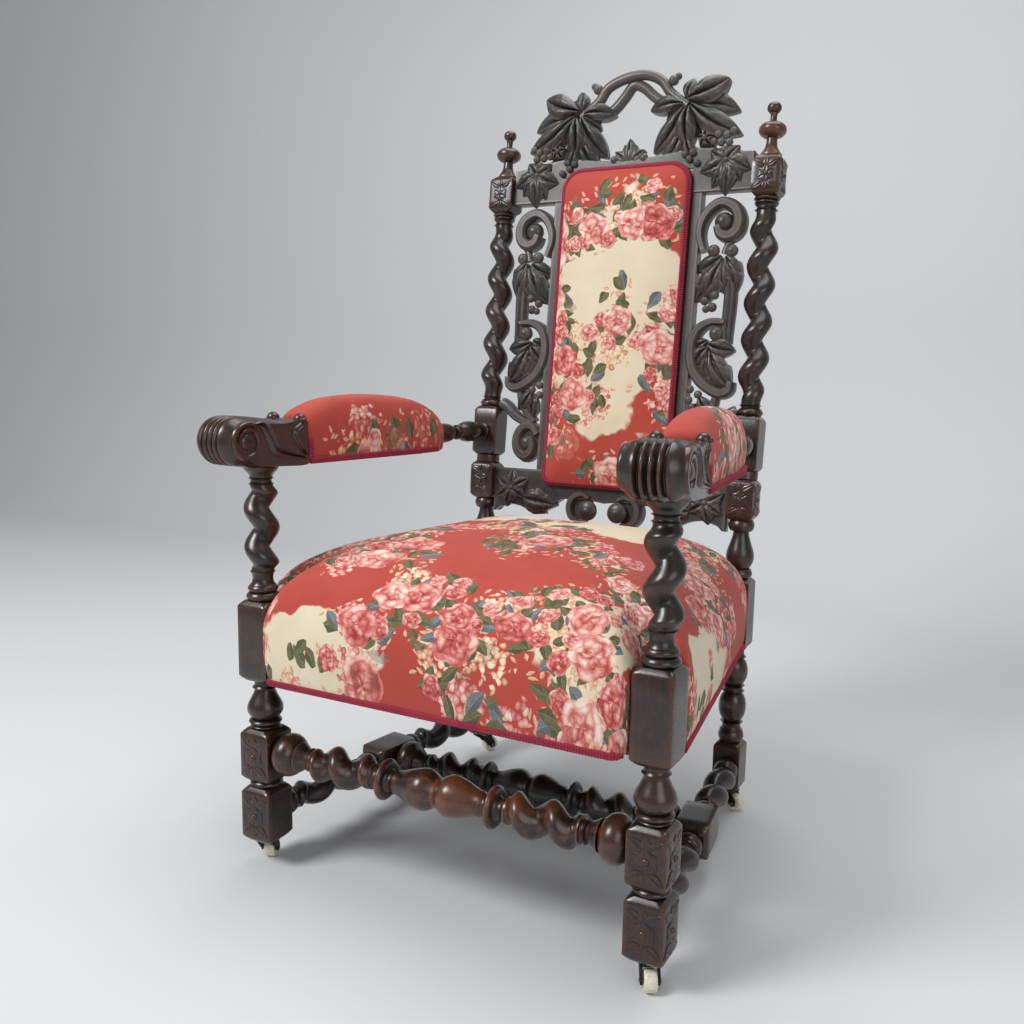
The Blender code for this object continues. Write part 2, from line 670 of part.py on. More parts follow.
def build_corner_blocks(parent):
    """Glued blocks across the corners inside the rails, clear of the legs and posts."""
    face = RAIL_THICKNESS / 2 + FIT
    for end, half, axis, rail_y, inward in (("front", LEG_HALF, FRONT_HALF, 0, 1),
                                            ("back", POST_HALF, BACK_HALF, DEPTH, -1)):
        for label, side in SIDES.items():
            near_y = rail_y + inward * face
            low_y = rail_y + inward * (half + 0.018)
            high_y = low_y + inward * 0.045
            outline = [(side * (axis - half - 0.020), near_y), (side * inner_side_x(low_y, face), low_y),
                       (side * inner_side_x(high_y, face), high_y), (side * (axis - half - 0.070), near_y)]
            solid = plate(outline, lambda a, b, c: Vector((a, b, c)),
                          RAIL_BOTTOM, RAIL_BOTTOM + CORNER_BLOCK_HEIGHT)
            add_piece(f"corner_block_{end}_{label}", solid, OAK, parent)


# Seat

def seat_outline():
    """Edge of the seat cover from the middle of the front, round by the right. Each point comes with
    its place on the rounded crown, and a flag beside a leg or a post, which the cover may not pass."""
    front_y, tuck_y = -LEG_HALF - SEAT_PROUD, RAIL_THICKNESS * 0.1 - LEG_HALF
    notch_x = FRONT_HALF - LEG_HALF - FIT
    leg_back = LEG_HALF + FIT
    post_front = DEPTH - POST_HALF - FIT
    side_front = Vector((FRONT_HALF + LEG_HALF, leg_back))
    side_back = Vector((BACK_HALF + POST_HALF, post_front))
    back_x = BACK_HALF - POST_HALF - FIT
    back_y = DEPTH + RAIL_THICKNESS / 2 + 0.006
    front_corner = Vector((side_front.x - SEAT_CORNER, tuck_y + SEAT_CORNER))
    back_corner = Vector((side_back.x - SEAT_CORNER, back_y - SEAT_CORNER))
    half = [(Vector((notch_x * share, front_y)), None, False) for share in (0, 0.25, 0.5, 0.75, 0.94)]
    half += [(Vector((notch_x, tuck_y)), None, True), (Vector((notch_x, leg_back)), front_corner, True)]
    half += [(side_front.lerp(side_back, i / 6), None, i in (0, 6)) for i in range(7)]
    half += [(Vector((back_x, post_front)), back_corner, True), (Vector((back_x, back_y)), None, True)]
    half += [(Vector((back_x * (1 - i / 4), back_y)), None, False) for i in range(1, 4)]
    half = [(point, crown or point, held) for point, crown, held in half]
    flip = Vector((-1, 1))
    other = [(point * flip, crown * flip, held) for point, crown, held in reversed(half[1:])]
    middle = Vector((0, back_y))
    return half + [(middle, middle, False)] + other


def seat_cutters():
    """Rails and spring space, as the seat pad has to clear them."""
    cutters = []
    for inset, top in ((-RAIL_THICKNESS / 2 - FIT, RAIL_TOP + FIT), (0.052, SPRING_TOP + SPRING_WIRE + FIT)):
        right = [(inner_side_x(y, inset), y) for y in (inset, DEPTH - inset)]
        outline = right + [(-x, y) for x, y in reversed(right)]
        cutters.append(plate(outline, lambda a, b, c: Vector((a, b, c)), SEAT_HEM - 0.01, top))
    return cutters


def build_seat_pad(parent):
    """Domed pad over springs: sides drawn in at the hem, swelling above it, rounding over to a crown."""
    rise = SEAT_CROWN - SEAT_HEM
    levels = [(0.0, 0.985), (0.12, 1.0), (0.30, 1.012), (0.46, 1.002), (0.58, 0.972), (0.70, 0.915),
              (0.80, 0.825), (0.89, 0.68), (0.955, 0.47), (0.99, 0.22)]
    centre = Vector((0, SEAT_MIDDLE_Y))
    rings = []
    for height, spread in levels:
        ring = []
        rounding = min(1.0, max(0.0, (0.92 - spread) / 0.20))
        for point, crown, held in seat_outline():
            share = min(spread, 1.0) if held else spread
            flat = centre + (point.lerp(crown, rounding) - centre) * share
            ring.append(Vector((flat.x, flat.y, SEAT_HEM + height * rise)))
        rings.append(ring)
    pad = skin(rings)
    top = [face for face in pad.faces if face.normal.z > 0.9 and len(face.verts) > 4]
    crown = bmesh.ops.poke(pad, faces=top)["verts"]
    for point in crown:
        point.co = Vector((centre.x, centre.y, SEAT_CROWN))
    add_piece("seat_pad", carve(pad, seat_cutters()), COVER, parent)


def build_webbing(parent):
    """Three straps each way, woven flat into one lattice under the rails."""
    edges = (0.0, 0.13, 0.27, 0.43, 0.57, 0.73, 0.87, 1.0)
    top = RAIL_BOTTOM - FIT
    front_y, back_y = -RAIL_THICKNESS * 0.3, DEPTH + RAIL_THICKNESS * 0.3
    web = bmesh.new()
    points = {}
    for i, across in enumerate(edges):
        for j, along in enumerate(edges):
            y = front_y + (back_y - front_y) * along
            points[i, j] = web.verts.new(((2 * across - 1) * inner_side_x(y, 0), y, top))
    for i in range(7):
        for j in range(7):
            if i % 2 or j % 2:
                web.faces.new((points[i, j], points[i + 1, j], points[i + 1, j + 1], points[i, j + 1]))
    bmesh.ops.delete(web, geom=[v for v in web.verts if not v.link_faces], context="VERTS")
    thick = bmesh.ops.extrude_face_region(web, geom=list(web.faces))["geom"]
    bmesh.ops.translate(web, vec=(0, 0, -WEB_THICKNESS),
                        verts=[item for item in thick if isinstance(item, bmesh.types.BMVert)])
    add_piece("seat_webbing", close_up(web), HESSIAN, parent)


def build_bottom_cloth(parent):
    """Black cloth tacked under the webbing, notched clear of the legs and posts."""
    top = RAIL_BOTTOM - 2 * FIT - WEB_THICKNESS
    edge = RAIL_THICKNESS * 0.4
    front_y, back_y = -edge, DEPTH + edge
    leg_x, leg_y = FRONT_HALF - LEG_HALF - 0.002, LEG_HALF + 0.002
    post_x, post_y = BACK_HALF - POST_HALF - 0.002, DEPTH - POST_HALF - 0.002
    half = [(leg_x, front_y), (leg_x, leg_y), (inner_side_x(leg_y, -edge), leg_y),
            (inner_side_x(post_y, -edge), post_y), (post_x, post_y), (post_x, back_y)]
    outline = half + [(-x, y) for x, y in reversed(half)]
    solid = plate(outline, lambda a, b, c: Vector((a, b, c)), top, top - CLOTH_THICKNESS)
    add_piece("bottom_cloth", solid, BLACK_CLOTH, parent)


def spring_points():
    """Hourglass coil from the webbing to the underside of the stuffing."""
    steps = SPRING_STEPS
    low, high = RAIL_BOTTOM + SPRING_WIRE, SPRING_TOP
    points = []
    for i in range(round(SPRING_TURNS * steps) + 1):
        share = i / round(SPRING_TURNS * steps)
        radius = SPRING_WAIST + (SPRING_RADIUS - SPRING_WAIST) * abs(2 * share - 1) ** 1.5
        turn = 2 * math.pi * i / steps
        points.append(Vector((radius * math.cos(turn), radius * math.sin(turn), low + share * (high - low))))
    return points


def build_springs(parent):
    points = spring_points()
    turn = SPRING_STEPS
    gaps = [(points[i + turn] - points[i]).length - 2 * SPRING_WIRE for i in range(len(points) - turn)]
    print(f"least gap between spring turns {min(gaps) * 1000:.1f} mm")
    places = {"front_left": (-1, -1), "front_right": (1, -1), "middle": (0, 0),
              "back_left": (-0.88, 1), "back_right": (0.88, 1)}
    for label, (across, along) in places.items():
        rings = []
        for i, point in enumerate(points):
            run = (points[min(i + 1, len(points) - 1)] - points[max(i - 1, 0)]).normalized()
            out = Vector((point.x, point.y, 0)).normalized()
            up = run.cross(out).normalized()
            section = ((1, 0), (-0.5, 0.87), (-0.5, -0.87))
            rings.append([point + SPRING_WIRE * (x * out + y * up) for x, y in section])
        add_piece(f"seat_spring_{label}", skin(rings), STEEL, parent,
                  (across * SPRING_SPREAD_X, SEAT_MIDDLE_Y + along * SPRING_SPREAD_Y, 0))


# Arms

def nose_centre():
    """Middle of the arm's round nose: (distance behind the leg's axis, height)."""
    return Vector((NOSE_RADIUS - NOSE_REACH, ARM_UNDERSIDE + NOSE_LIFT + NOSE_RADIUS))


def arm_outline():
    """Side of the arm's front: round nose, dipping top, raised leaf tip at the pad, flat underside."""
    nose = nose_centre()
    points = []
    for i in range(8):
        angle = math.radians(270 - 180 * i / 7)
        points.append((nose.x + NOSE_RADIUS * math.cos(angle), nose.y + NOSE_RADIUS * math.sin(angle)))
    top = nose.y + NOSE_RADIUS
    run = ARM_PAD_FRONT - nose.x
    for share, drop in ((0.22, 0.003), (0.42, 0.010), (0.60, 0.014), (0.74, 0.006), (0.92, 0.004), (1.0, 0.010)):
        points.append((nose.x + share * run, top - drop))
    return points + [(ARM_PAD_FRONT, ARM_UNDERSIDE + 0.001), (0.0, ARM_UNDERSIDE),
                     (nose.x * 0.6, ARM_UNDERSIDE + 0.001)]


def nose_profile():
    """(across the arm, inset of the outline): reeds in the middle, rounded shoulders at the sides."""
    half = ARM_WIDTH / 2
    reed, depth = ARM_WIDTH * 0.10, 0.0028
    steps = [(half, 0.0060), (half * 0.84, 0.0010), (half * 0.62, 0.0)]
    for i in (2, 1):
        steps += [(reed * (i + 0.08) - reed / 2, depth), (reed * (i - 0.5) - reed / 2, 0.0)]
    right = [(x, inset) for x, inset in steps if x > reed * 0.2]
    return [(-x, inset) for x, inset in right] + [(0.0, depth)] + [(x, inset) for x, inset in reversed(right)]


def build_arm(parent, name, side):
    outline = [Vector(p) for p in arm_outline()]
    middle = nose_centre()
    rings = []
    for across, inset in nose_profile():
        ring = []
        for p in outline:
            fade = min(1.0, max(0.0, 1.6 * (ARM_PAD_FRONT - p.x) / (ARM_PAD_FRONT - middle.x)))
            fade = fade if p.y > ARM_UNDERSIDE + 0.003 else 0.0
            inward = Vector((max(p.x, middle.x), middle.y)) - p
            inward = inward.normalized() if inward.length > 1e-6 else Vector((0, 0))
            q = p + inward * inset * fade
            ring.append(Vector((across, q.x, q.y)))
        rings.append(ring)
    nose = skin(rings)
    core = Turning(TURNED_SIDES)
    shoulder = arm_shoulder()
    core_end = ARM_PAD_FRONT + ARM_PAD_LENGTH - 0.012
    core.ring(ARM_PAD_FRONT - 0.030, CORE_HALF_WIDTH, square=True, half_y=CORE_HALF_HEIGHT)
    core.ring(core_end, CORE_HALF_WIDTH, square=True, half_y=CORE_HALF_HEIGHT)
    core.span(core_end, shoulder, [("neck", 10, NECK), ("ball", 34, BALL * 0.60), ("neck", 9, NECK * 0.7),
                                   ("fillet", 8, NECK), ("ball", 40, BALL * 0.70), ("neck", 12, NECK * 0.8)])
    core.ring(shoulder, DOWEL)
    core.ring(shoulder + DOWEL_LENGTH, DOWEL)
    solids = [nose, core.solid(lambda x, y, s: Vector((x, s, ARM_AXIS_Z + y)))]
    reach = ARM_WIDTH / 2 + 0.002
    solids.append(rod((-reach, middle.x, middle.y), (reach, middle.x, middle.y), EYE_RADIUS, ROUND_SIDES))
    solid = carve(fuse(solids), [hole((0, 0, ARM_UNDERSIDE - FIT), (0, 0, LEG_TENON_TOP), DOWEL)])
    add_piece(name, solid, OAK, parent, (side * FRONT_HALF, 0, 0), (0, 0, side * ARM_ANGLE))


def build_arm_pad(parent, name, side):
    """Pad wrapped over the arm's core: flat front, swelling top, rounded rear end, channel below."""
    stations = [(0.0, 0.90, 0.74), (0.06, 0.96, 0.84), (0.18, 1.0, 0.95), (0.36, 1.0, 1.0), (0.56, 0.98, 0.98),
                (0.74, 0.92, 0.92), (0.88, 0.84, 0.80), (0.96, 0.74, 0.66), (1.0, 0.66, 0.54)]
    channel = CORE_HALF_WIDTH + FIT
    roof = ARM_AXIS_Z + CORE_HALF_HEIGHT + FIT
    rise = ARM_PAD_RISE
    rings = []
    for share, wide, tall in stations:
        y = ARM_PAD_FRONT + FIT + share * ARM_PAD_LENGTH
        half = max(ARM_PAD_HALF * wide, channel + 0.002)
        top = max(rise * tall, roof - ARM_UNDERSIDE + 0.003)
        ring = [Vector((half * 0.93, y, ARM_UNDERSIDE))]
        for i in range(9):
            angle = math.radians(180 * i / 8)
            x = math.copysign(abs(math.cos(angle)) ** 0.62, math.cos(angle))
            z = 0.42 + 0.58 * math.sin(angle) ** 0.85
            ring.append(Vector((half * x, y, ARM_UNDERSIDE + top * z)))
        ring.append(Vector((-half * 0.93, y, ARM_UNDERSIDE)))
        ring += [Vector((-channel, y, ARM_UNDERSIDE)), Vector((-channel, y, roof)),
                 Vector((channel, y, roof)), Vector((channel, y, ARM_UNDERSIDE))]
        rings.append(ring)
    add_piece(name, skin(rings), COVER, parent, (side * FRONT_HALF, 0, 0), (0, 0, side * ARM_ANGLE))


# Back: pieces are made in the back's own frame, x across, y into the back, z up the slope from the knee

def up_back(x, v, n=0.0):
    return Vector((x, n, v - KNEE_Z))


def drawing(x, v, unit, stretch=1.0):
    """Place for carving drawn in units of its own width: across, up (stretched to fit) and into the back."""
    return lambda a, b, n: up_back(x + a * unit, v + b * unit * stretch, n * unit)


def leaf_lobe(place, root, tip, width, n, thickness, fine=True):
    """Pointed leaf lobe with a ridge along it; n is the depth of its back."""
    root, along = Vector(root), Vector(tip) - Vector(root)
    side = Vector((-along.y, along.x)).normalized() * width / 2
    solid = bmesh.new()

    def point(share, out, height):
        spot = root + along * share + side * out
        return solid.verts.new(place(spot.x, spot.y, n - height * thickness))

    marks = ((0, 0.45, 0.6), (0.45, 1.0, 1.0))
    if fine:
        marks = ((0, 0.34, 0.55), (0.38, 1.0, 1.0), (0.72, 0.74, 0.85))
    spine = [point(share, 0, height) for share, _, height in marks] + [point(1, 0, 0.35)]
    tip_foot = point(1, 0, 0)
    rims = []
    for hand in (-1, 1):
        edge = [point(share, hand * out, 0.5) for share, out, _ in marks] + [spine[-1]]
        foot = [point(share, hand * out, 0) for share, out, _ in marks] + [tip_foot]
        for i in range(len(marks)):
            solid.faces.new(list(dict.fromkeys((spine[i], edge[i], edge[i + 1], spine[i + 1]))))
            solid.faces.new((edge[i], foot[i], foot[i + 1], edge[i + 1]))
        rims.append((edge[0], foot))
    (left_edge, left_foot), (right_edge, right_foot) = rims
    solid.faces.new((spine[0], left_edge, left_foot[0], right_foot[0], right_edge))
    solid.faces.new(left_foot + right_foot[-2::-1])
    return close_up(solid)


def strap(place, points, widths, n, thickness):
    """Strap through points, with sloping edges and its own width at each; n is the depth of its back."""
    spots = [Vector(point) for point in points]
    rings = []
    for i, (spot, width) in enumerate(zip(spots, widths)):
        run = (spots[min(i + 1, len(spots) - 1)] - spots[max(i - 1, 0)]).normalized()
        side = Vector((-run.y, run.x)) * width / 2
        section = ((-1, 0), (-0.62, 1), (0.62, 1), (1, 0))
        rings.append([place(*(spot + side * out), n - height * thickness) for out, height in section])
    return skin(rings)


def vine_stem(place, points, radius, n):
    """Round stem through points at depth n, tapering a little to its tip."""
    rings = []
    spots = [Vector(point) for point in points]
    for i, spot in enumerate(spots):
        run = (spots[min(i + 1, len(spots) - 1)] - spots[max(i - 1, 0)]).normalized()
        size = radius * (1 - 0.15 * i / (len(spots) - 1))
        ring = []
        for k in range(5):
            angle = 2 * math.pi * k / 5
            across = size * math.cos(angle)
            ring.append(place(spot.x - run.y * across, spot.y + run.x * across, n + size * math.sin(angle)))
        rings.append(ring)
    return skin(rings)


def grape(place, a, b, radius, n):
    """Grape or bud, cut with flat facets."""
    rings = []
    for depth, size in ((-0.82, 0.57), (0, 1), (0.82, 0.57)):
        bearings = [2 * math.pi * (k + 0.3) / 5 for k in range(5)]
        rings.append([place(a + radius * size * math.cos(bearing), b + radius * size * math.sin(bearing),
                            n + radius * depth) for bearing in bearings])
    return skin(rings)


def back_plate(outline, near, far):
    return plate(outline, up_back, near, far)


CREST_DRAWN = 0.707             # height of the drawn crest, in half widths of its rail
CREST_LOBES = (                 # root, tip and width
    ((0.440, 0.430), (0.473, 0.600), 0.11), ((0.455, 0.415), (0.766, 0.558), 0.20),
    ((0.475, 0.395), (0.865, 0.312), 0.19), ((0.480, 0.378), (0.890, 0.128), 0.21),
    ((0.478, 0.364), (0.709, 0.103), 0.17), ((0.468, 0.364), (0.478, 0.040), 0.19),
    ((0.440, 0.378), (0.185, 0.030), 0.20), ((0.411, 0.397), (0.140, 0.374), 0.15),
    ((0.426, 0.194), (0.265, -0.052), 0.16), ((0.463, 0.128), (0.548, -0.061), 0.14),
)
RAIL_LEAF_ROOT = (0.790, -0.066)
RAIL_LEAF_TIPS = ((0.884, 0.050), (0.586, -0.142), (0.985, -0.170), (0.840, -0.275), (0.690, -0.262))
CREST_GRAPES = ((0.715, 0.130), (0.782, 0.112), (0.745, 0.060))


def crest_half(place):
    """Carved elements of the crest to the right of its middle."""
    solids = []
    for i, (root, tip, width) in enumerate(CREST_LOBES):
        n, thickness = 0.022 - 0.0014 * i, 0.090 + 0.004 * (i % 3)
        solids.append(leaf_lobe(place, root, tip, width, n, thickness, fine=False))
    for i, tip in enumerate(RAIL_LEAF_TIPS):
        root = Vector(RAIL_LEAF_ROOT).lerp(Vector(tip), 0.03 + 0.015 * i)
        solids.append(leaf_lobe(place, root, tip, 0.115, -0.036 - 0.0012 * i, 0.046, fine=False))
    for i, (a, b) in enumerate(CREST_GRAPES):
        solids.append(grape(place, a, b, 0.040, -0.034 - 0.002 * i))
    solids.append(grape(place, 0.615, 0.113, 0.066, -0.020))
    solids.append(grape(place, 0.285, 0.580, 0.044, -0.014))
    solids.append(leaf_lobe(place, (0.010, -0.012), (0.123, 0.090), 0.085, 0.018, 0.060, fine=False))
    return solids


def build_crest_rail(back):
    """Rail between the posts' top blocks, rising over the pad, with a pierced arch of vine above it."""
    end = BACK_HALF - POST_HALF - FIT
    notch = BACK_PAD_HALF + FIT
    shoulder = CREST_SHOULDER - CREST_LOW
    right = [(notch, CREST_UNDER), (notch, CREST_LOW), (end, CREST_LOW), (end, CREST_SHOULDER),
             (end * 0.76, CREST_SHOULDER + 0.10 * shoulder), (notch * 0.95, CREST_RIDGE + 0.20 * shoulder),
             (notch * 0.5, CREST_RIDGE + 0.06 * shoulder)]
    outline = right + [(0, CREST_RIDGE)] + [(-x, v) for x, v in reversed(right)]
    place = drawing(0, CREST_RIDGE, end, (CREST_TOP - CREST_RIDGE) / (CREST_DRAWN * end))
    solids = [back_plate(outline, -BOARD / 2, BOARD / 2)]
    over = [(-0.449, 0.383), (-0.303, 0.487), (-0.217, 0.586), (-0.057, 0.660), (0.099, 0.664), (0.222, 0.596),
            (0.303, 0.496), (0.449, 0.383)]
    under = [(0.435, 0.345), (0.189, 0.492), (0.095, 0.552), (0.000, 0.585), (-0.099, 0.510), (-0.208, 0.411),
             (-0.435, 0.345)]
    solids += [vine_stem(place, over, 0.041, -0.018), vine_stem(place, under, 0.040, 0.012)]
    solids.append(leaf_lobe(place, (0, -0.014), (0, 0.175), 0.09, 0.016, 0.066))
    for element in crest_half(place):
        solids.append(mirrored(element))
        solids.append(element)
    middle = (CREST_LOW + CREST_SHOULDER) / 2
    for side in SIDES.values():
        near, far = side * (end - TENON_LENGTH), side * (end + TENON_LENGTH)
        solids.append(bar(up_back(near, middle), up_back(far, middle), TENON_HALF, shoulder * 0.3))
    add_piece("crest_rail", fuse(solids), OAK, back)


RAIL_DRAWN = 0.243              # height of the drawn lower rail, in half widths
LOWER_LEAF_TIPS = ((0.827, 0.236), (0.972, 0.161), (0.676, 0.161), (0.890, -0.070))


def build_lower_back_rail(back):
    """Rail under the back pad: scalloped lower edge, leaf at each end, twin roundels in the middle."""
    end = BACK_HALF - POST_HALF - FIT
    tall = LOWER_RAIL_HIGH - LOWER_RAIL_LOW
    low_edge = [(1.0, -0.525), (0.905, -0.29), (0.775, -0.21), (0.70, -0.36), (0.59, -0.44), (0.44, -0.25),
                (0.36, 0.08), (0.14, 0.10)]
    right = [(end, LOWER_RAIL_HIGH)] + [(end * a, LOWER_RAIL_LOW + b * tall) for a, b in low_edge]
    outline = right + [(0, LOWER_RAIL_LOW)] + [(-x, v) for x, v in reversed(right)]
    solids = [back_plate(outline, -BOARD / 2, BOARD / 2)]
    middle = (LOWER_RAIL_LOW + LOWER_RAIL_HIGH) / 2
    reach = end + TENON_LENGTH
    solids.append(bar(up_back(-reach, middle), up_back(reach, middle), TENON_HALF, tall * 0.3))
    place = drawing(0, LOWER_RAIL_LOW, end, tall / (RAIL_DRAWN * end))
    for side in SIDES.values():
        for share, drop, radius, front, faces in ((0.2175, 0.165, 0.140, 0.64, ROUND_SIDES),
                                                  (0.156, 0.250, 0.078, 0.95, TURNED_SIDES)):
            x, v = side * share * end, LOWER_RAIL_LOW - drop * tall
            solids.append(rod(up_back(x, v, BOARD * 0.45), up_back(x, v, -BOARD * front), radius * end, faces))
    for i, tip in enumerate(LOWER_LEAF_TIPS):
        root = Vector((0.832, 0.080)).lerp(Vector(tip), 0.03 + 0.015 * i)
        lobe = leaf_lobe(place, root, tip, 0.105, -0.034 - 0.0012 * i, 0.050, fine=False)
        solids += [mirrored(lobe), lobe]
    lobe = leaf_lobe(place, (0.720, 0.006), (0.416, -0.040), 0.150, -0.030, 0.056, fine=False)
    solids += [mirrored(lobe), lobe]
    add_piece("lower_back_rail", fuse(solids), OAK, back)


def build_stile(back, name, side):
    """Plain upright behind the pad's edge."""
    x = side * (BACK_PAD_HALF - STILE_WIDTH / 2)
    solid = bar(up_back(x, LOWER_RAIL_HIGH + FIT), up_back(x, CREST_UNDER - FIT), STILE_WIDTH / 2, BOARD / 2,
                up=(0, 1, 0))
    add_piece(name, solid, OAK, back)


SIDE_DRAWN = 5.121              # height of the drawn side carving, in its own widths
SIDE_LOBES = (                  # root, tip and width
    ((0.613, 3.985), (0.150, 3.741), 0.28), ((0.702, 3.985), (0.985, 3.607), 0.27),
    ((0.635, 3.896), (0.168, 3.185), 0.40), ((0.657, 3.874), (0.702, 3.318), 0.26),
    ((0.502, 2.440), (0.975, 2.328), 0.27), ((0.491, 2.384), (0.235, 2.028), 0.26),
    ((0.568, 2.273), (0.950, 1.672), 0.38), ((0.513, 2.228), (0.724, 1.538), 0.36),
    ((0.413, 1.494), (0.702, 1.138), 0.28), ((0.346, 1.383), (0.390, 0.982), 0.27),
)
SIDE_GRAPES = (                 # place, radius and depth
    (0.528, 4.080, 0.120, -0.050), (0.800, 4.074, 0.110, -0.07), (0.557, 3.270, 0.090, -0.06),
    (0.400, 3.170, 0.090, -0.07), (0.510, 3.070, 0.090, -0.05), (0.635, 2.640, 0.145, -0.03),
    (0.235, 1.600, 0.100, -0.06), (0.385, 1.538, 0.090, -0.05),
    (0.580, 4.590, 0.190, -0.01),
)


def side_carving():
    """Pierced carving right of the pad: plain strip, scrolls, leaves, grapes and a strut to the post."""
    inner = BACK_PAD_HALF + FIT
    strip = inner + STRIP_WIDTH
    low, high = LOWER_RAIL_HIGH + FIT, CREST_LOW - FIT
    width = BACK_HALF - POST_TWIST * 1.26 - inner
    place = drawing(inner, low, width, (high - low) / (SIDE_DRAWN * width))
    post = (BACK_HALF - POST_HALF - FIT - inner) / width
    solids = [back_plate([(inner, low), (strip, low), (strip, high), (inner, high)], -BOARD / 2, BOARD / 2)]
    volute = []
    for i in range(12):
        bearing = 2 * math.pi * (i + 0.5) / 12
        volute.append((0.446 + 0.345 * math.cos(bearing), 0.498 + 0.448 * math.sin(bearing)))
    solids += [
        strap(place, [(0.279, 4.097), (0.196, 4.364), (0.240, 4.670), (0.460, 4.895), (0.740, 4.850),
                      (0.880, 4.600), (0.790, 4.375), (0.560, 4.440)],
              (0.11, 0.13, 0.15, 0.18, 0.21, 0.21, 0.19, 0.12), 0.105, 0.24),
        strap(place, [(0.713, 3.719), (0.802, 3.419), (0.808, 3.085), (0.797, 2.695), (0.824, 2.400)],
              (0.14, 0.20, 0.20, 0.19, 0.14), 0.100, 0.20),
        strap(place, [(0.780, 2.829), (0.460, 2.815), (0.225, 2.590), (0.190, 2.180), (0.357, 1.828),
                      (0.640, 1.615), (0.880, 1.590), (0.940, 1.783)],
              (0.10, 0.13, 0.15, 0.15, 0.14, 0.14, 0.13, 0.10), 0.102, 0.22),
        strap(place, [(post, 1.250), (post - 0.08, 1.250), (0.870, 1.130), (0.730, 1.000), (0.390, 0.893)],
              (0.20, 0.20, 0.19, 0.17, 0.12), 0.097, 0.20),
        strap(place, [(0.702, 1.538), (0.635, 1.305), (0.502, 1.093), (0.346, 0.915)],
              (0.12, 0.15, 0.15, 0.12), 0.094, 0.19),
        plate(volute, place, 0.106, -0.098),
        vine_stem(place, [(0.791, 4.330), (0.720, 4.180), (0.657, 3.900)], 0.075, 0.0),
        vine_stem(place, [(0.640, 3.900), (0.560, 3.300), (0.450, 3.080)], 0.055, 0.012),
        vine_stem(place, [(0.640, 2.830), (0.610, 2.600), (0.510, 2.200)], 0.060, 0.010),
    ]
    for i, (root, tip, wide) in enumerate(SIDE_LOBES):
        n, thickness = 0.050 - 0.003 * i, 0.165 + 0.012 * (i % 3)
        solids.append(leaf_lobe(place, root, tip, wide, n, thickness, fine=wide > 0.35))
    for a, b, radius, n in SIDE_GRAPES:
        solids.append(grape(place, a, b, radius, n))
    return fuse(solids)


def build_back_pad(back):
    """Padded panel with rounded top corners: flat edge for the braid, then a soft crown."""
    half = BACK_PAD_HALF - FIT
    centre = Vector((0, (BACK_PAD_LOW + BACK_PAD_HIGH) / 2))
    tall = (BACK_PAD_HIGH - BACK_PAD_LOW) / 2
    edge = [(half, BACK_PAD_LOW), (half, centre.y - tall * 0.33), (half, centre.y + tall * 0.33)]
    for i in range(5):
        angle = math.radians(90 * i / 4)
        edge.append((half - BACK_PAD_CORNER * (1 - math.cos(angle)),
                     BACK_PAD_HIGH - BACK_PAD_CORNER * (1 - math.sin(angle))))
    outline = edge + [(0, BACK_PAD_HIGH)] + [(-x, v) for x, v in reversed(edge)] + [(0, BACK_PAD_LOW)]
    face = -BOARD / 2 - FIT
    levels = [(0.0, 0.0), (0.28, 0.0), (0.50, 0.006), (0.74, 0.020), (0.92, 0.046), (1.0, 0.080)]
    rings = []
    for rise, inset in levels:
        ring = []
        for x, v in outline:
            ring.append(up_back(x * (1 - inset / half), centre.y + (v - centre.y) * (1 - inset / tall),
                                face - rise * BACK_PAD_CROWN))
        rings.append(ring)
    add_piece("back_pad", skin(rings), COVER, back)


def build_outside_back(back):
    """Thin covered panel that closes the back between the stiles."""
    half = BACK_PAD_HALF - STILE_WIDTH - FIT
    low, high = LOWER_RAIL_HIGH + FIT, CREST_UNDER - FIT
    outline = [(half, low), (half, high), (-half, high), (-half, low)]
    face = BOARD / 2 - 0.002
    add_piece("outside_back", back_plate(outline, face - OUTSIDE_BACK, face), COVER, back)


# Castors

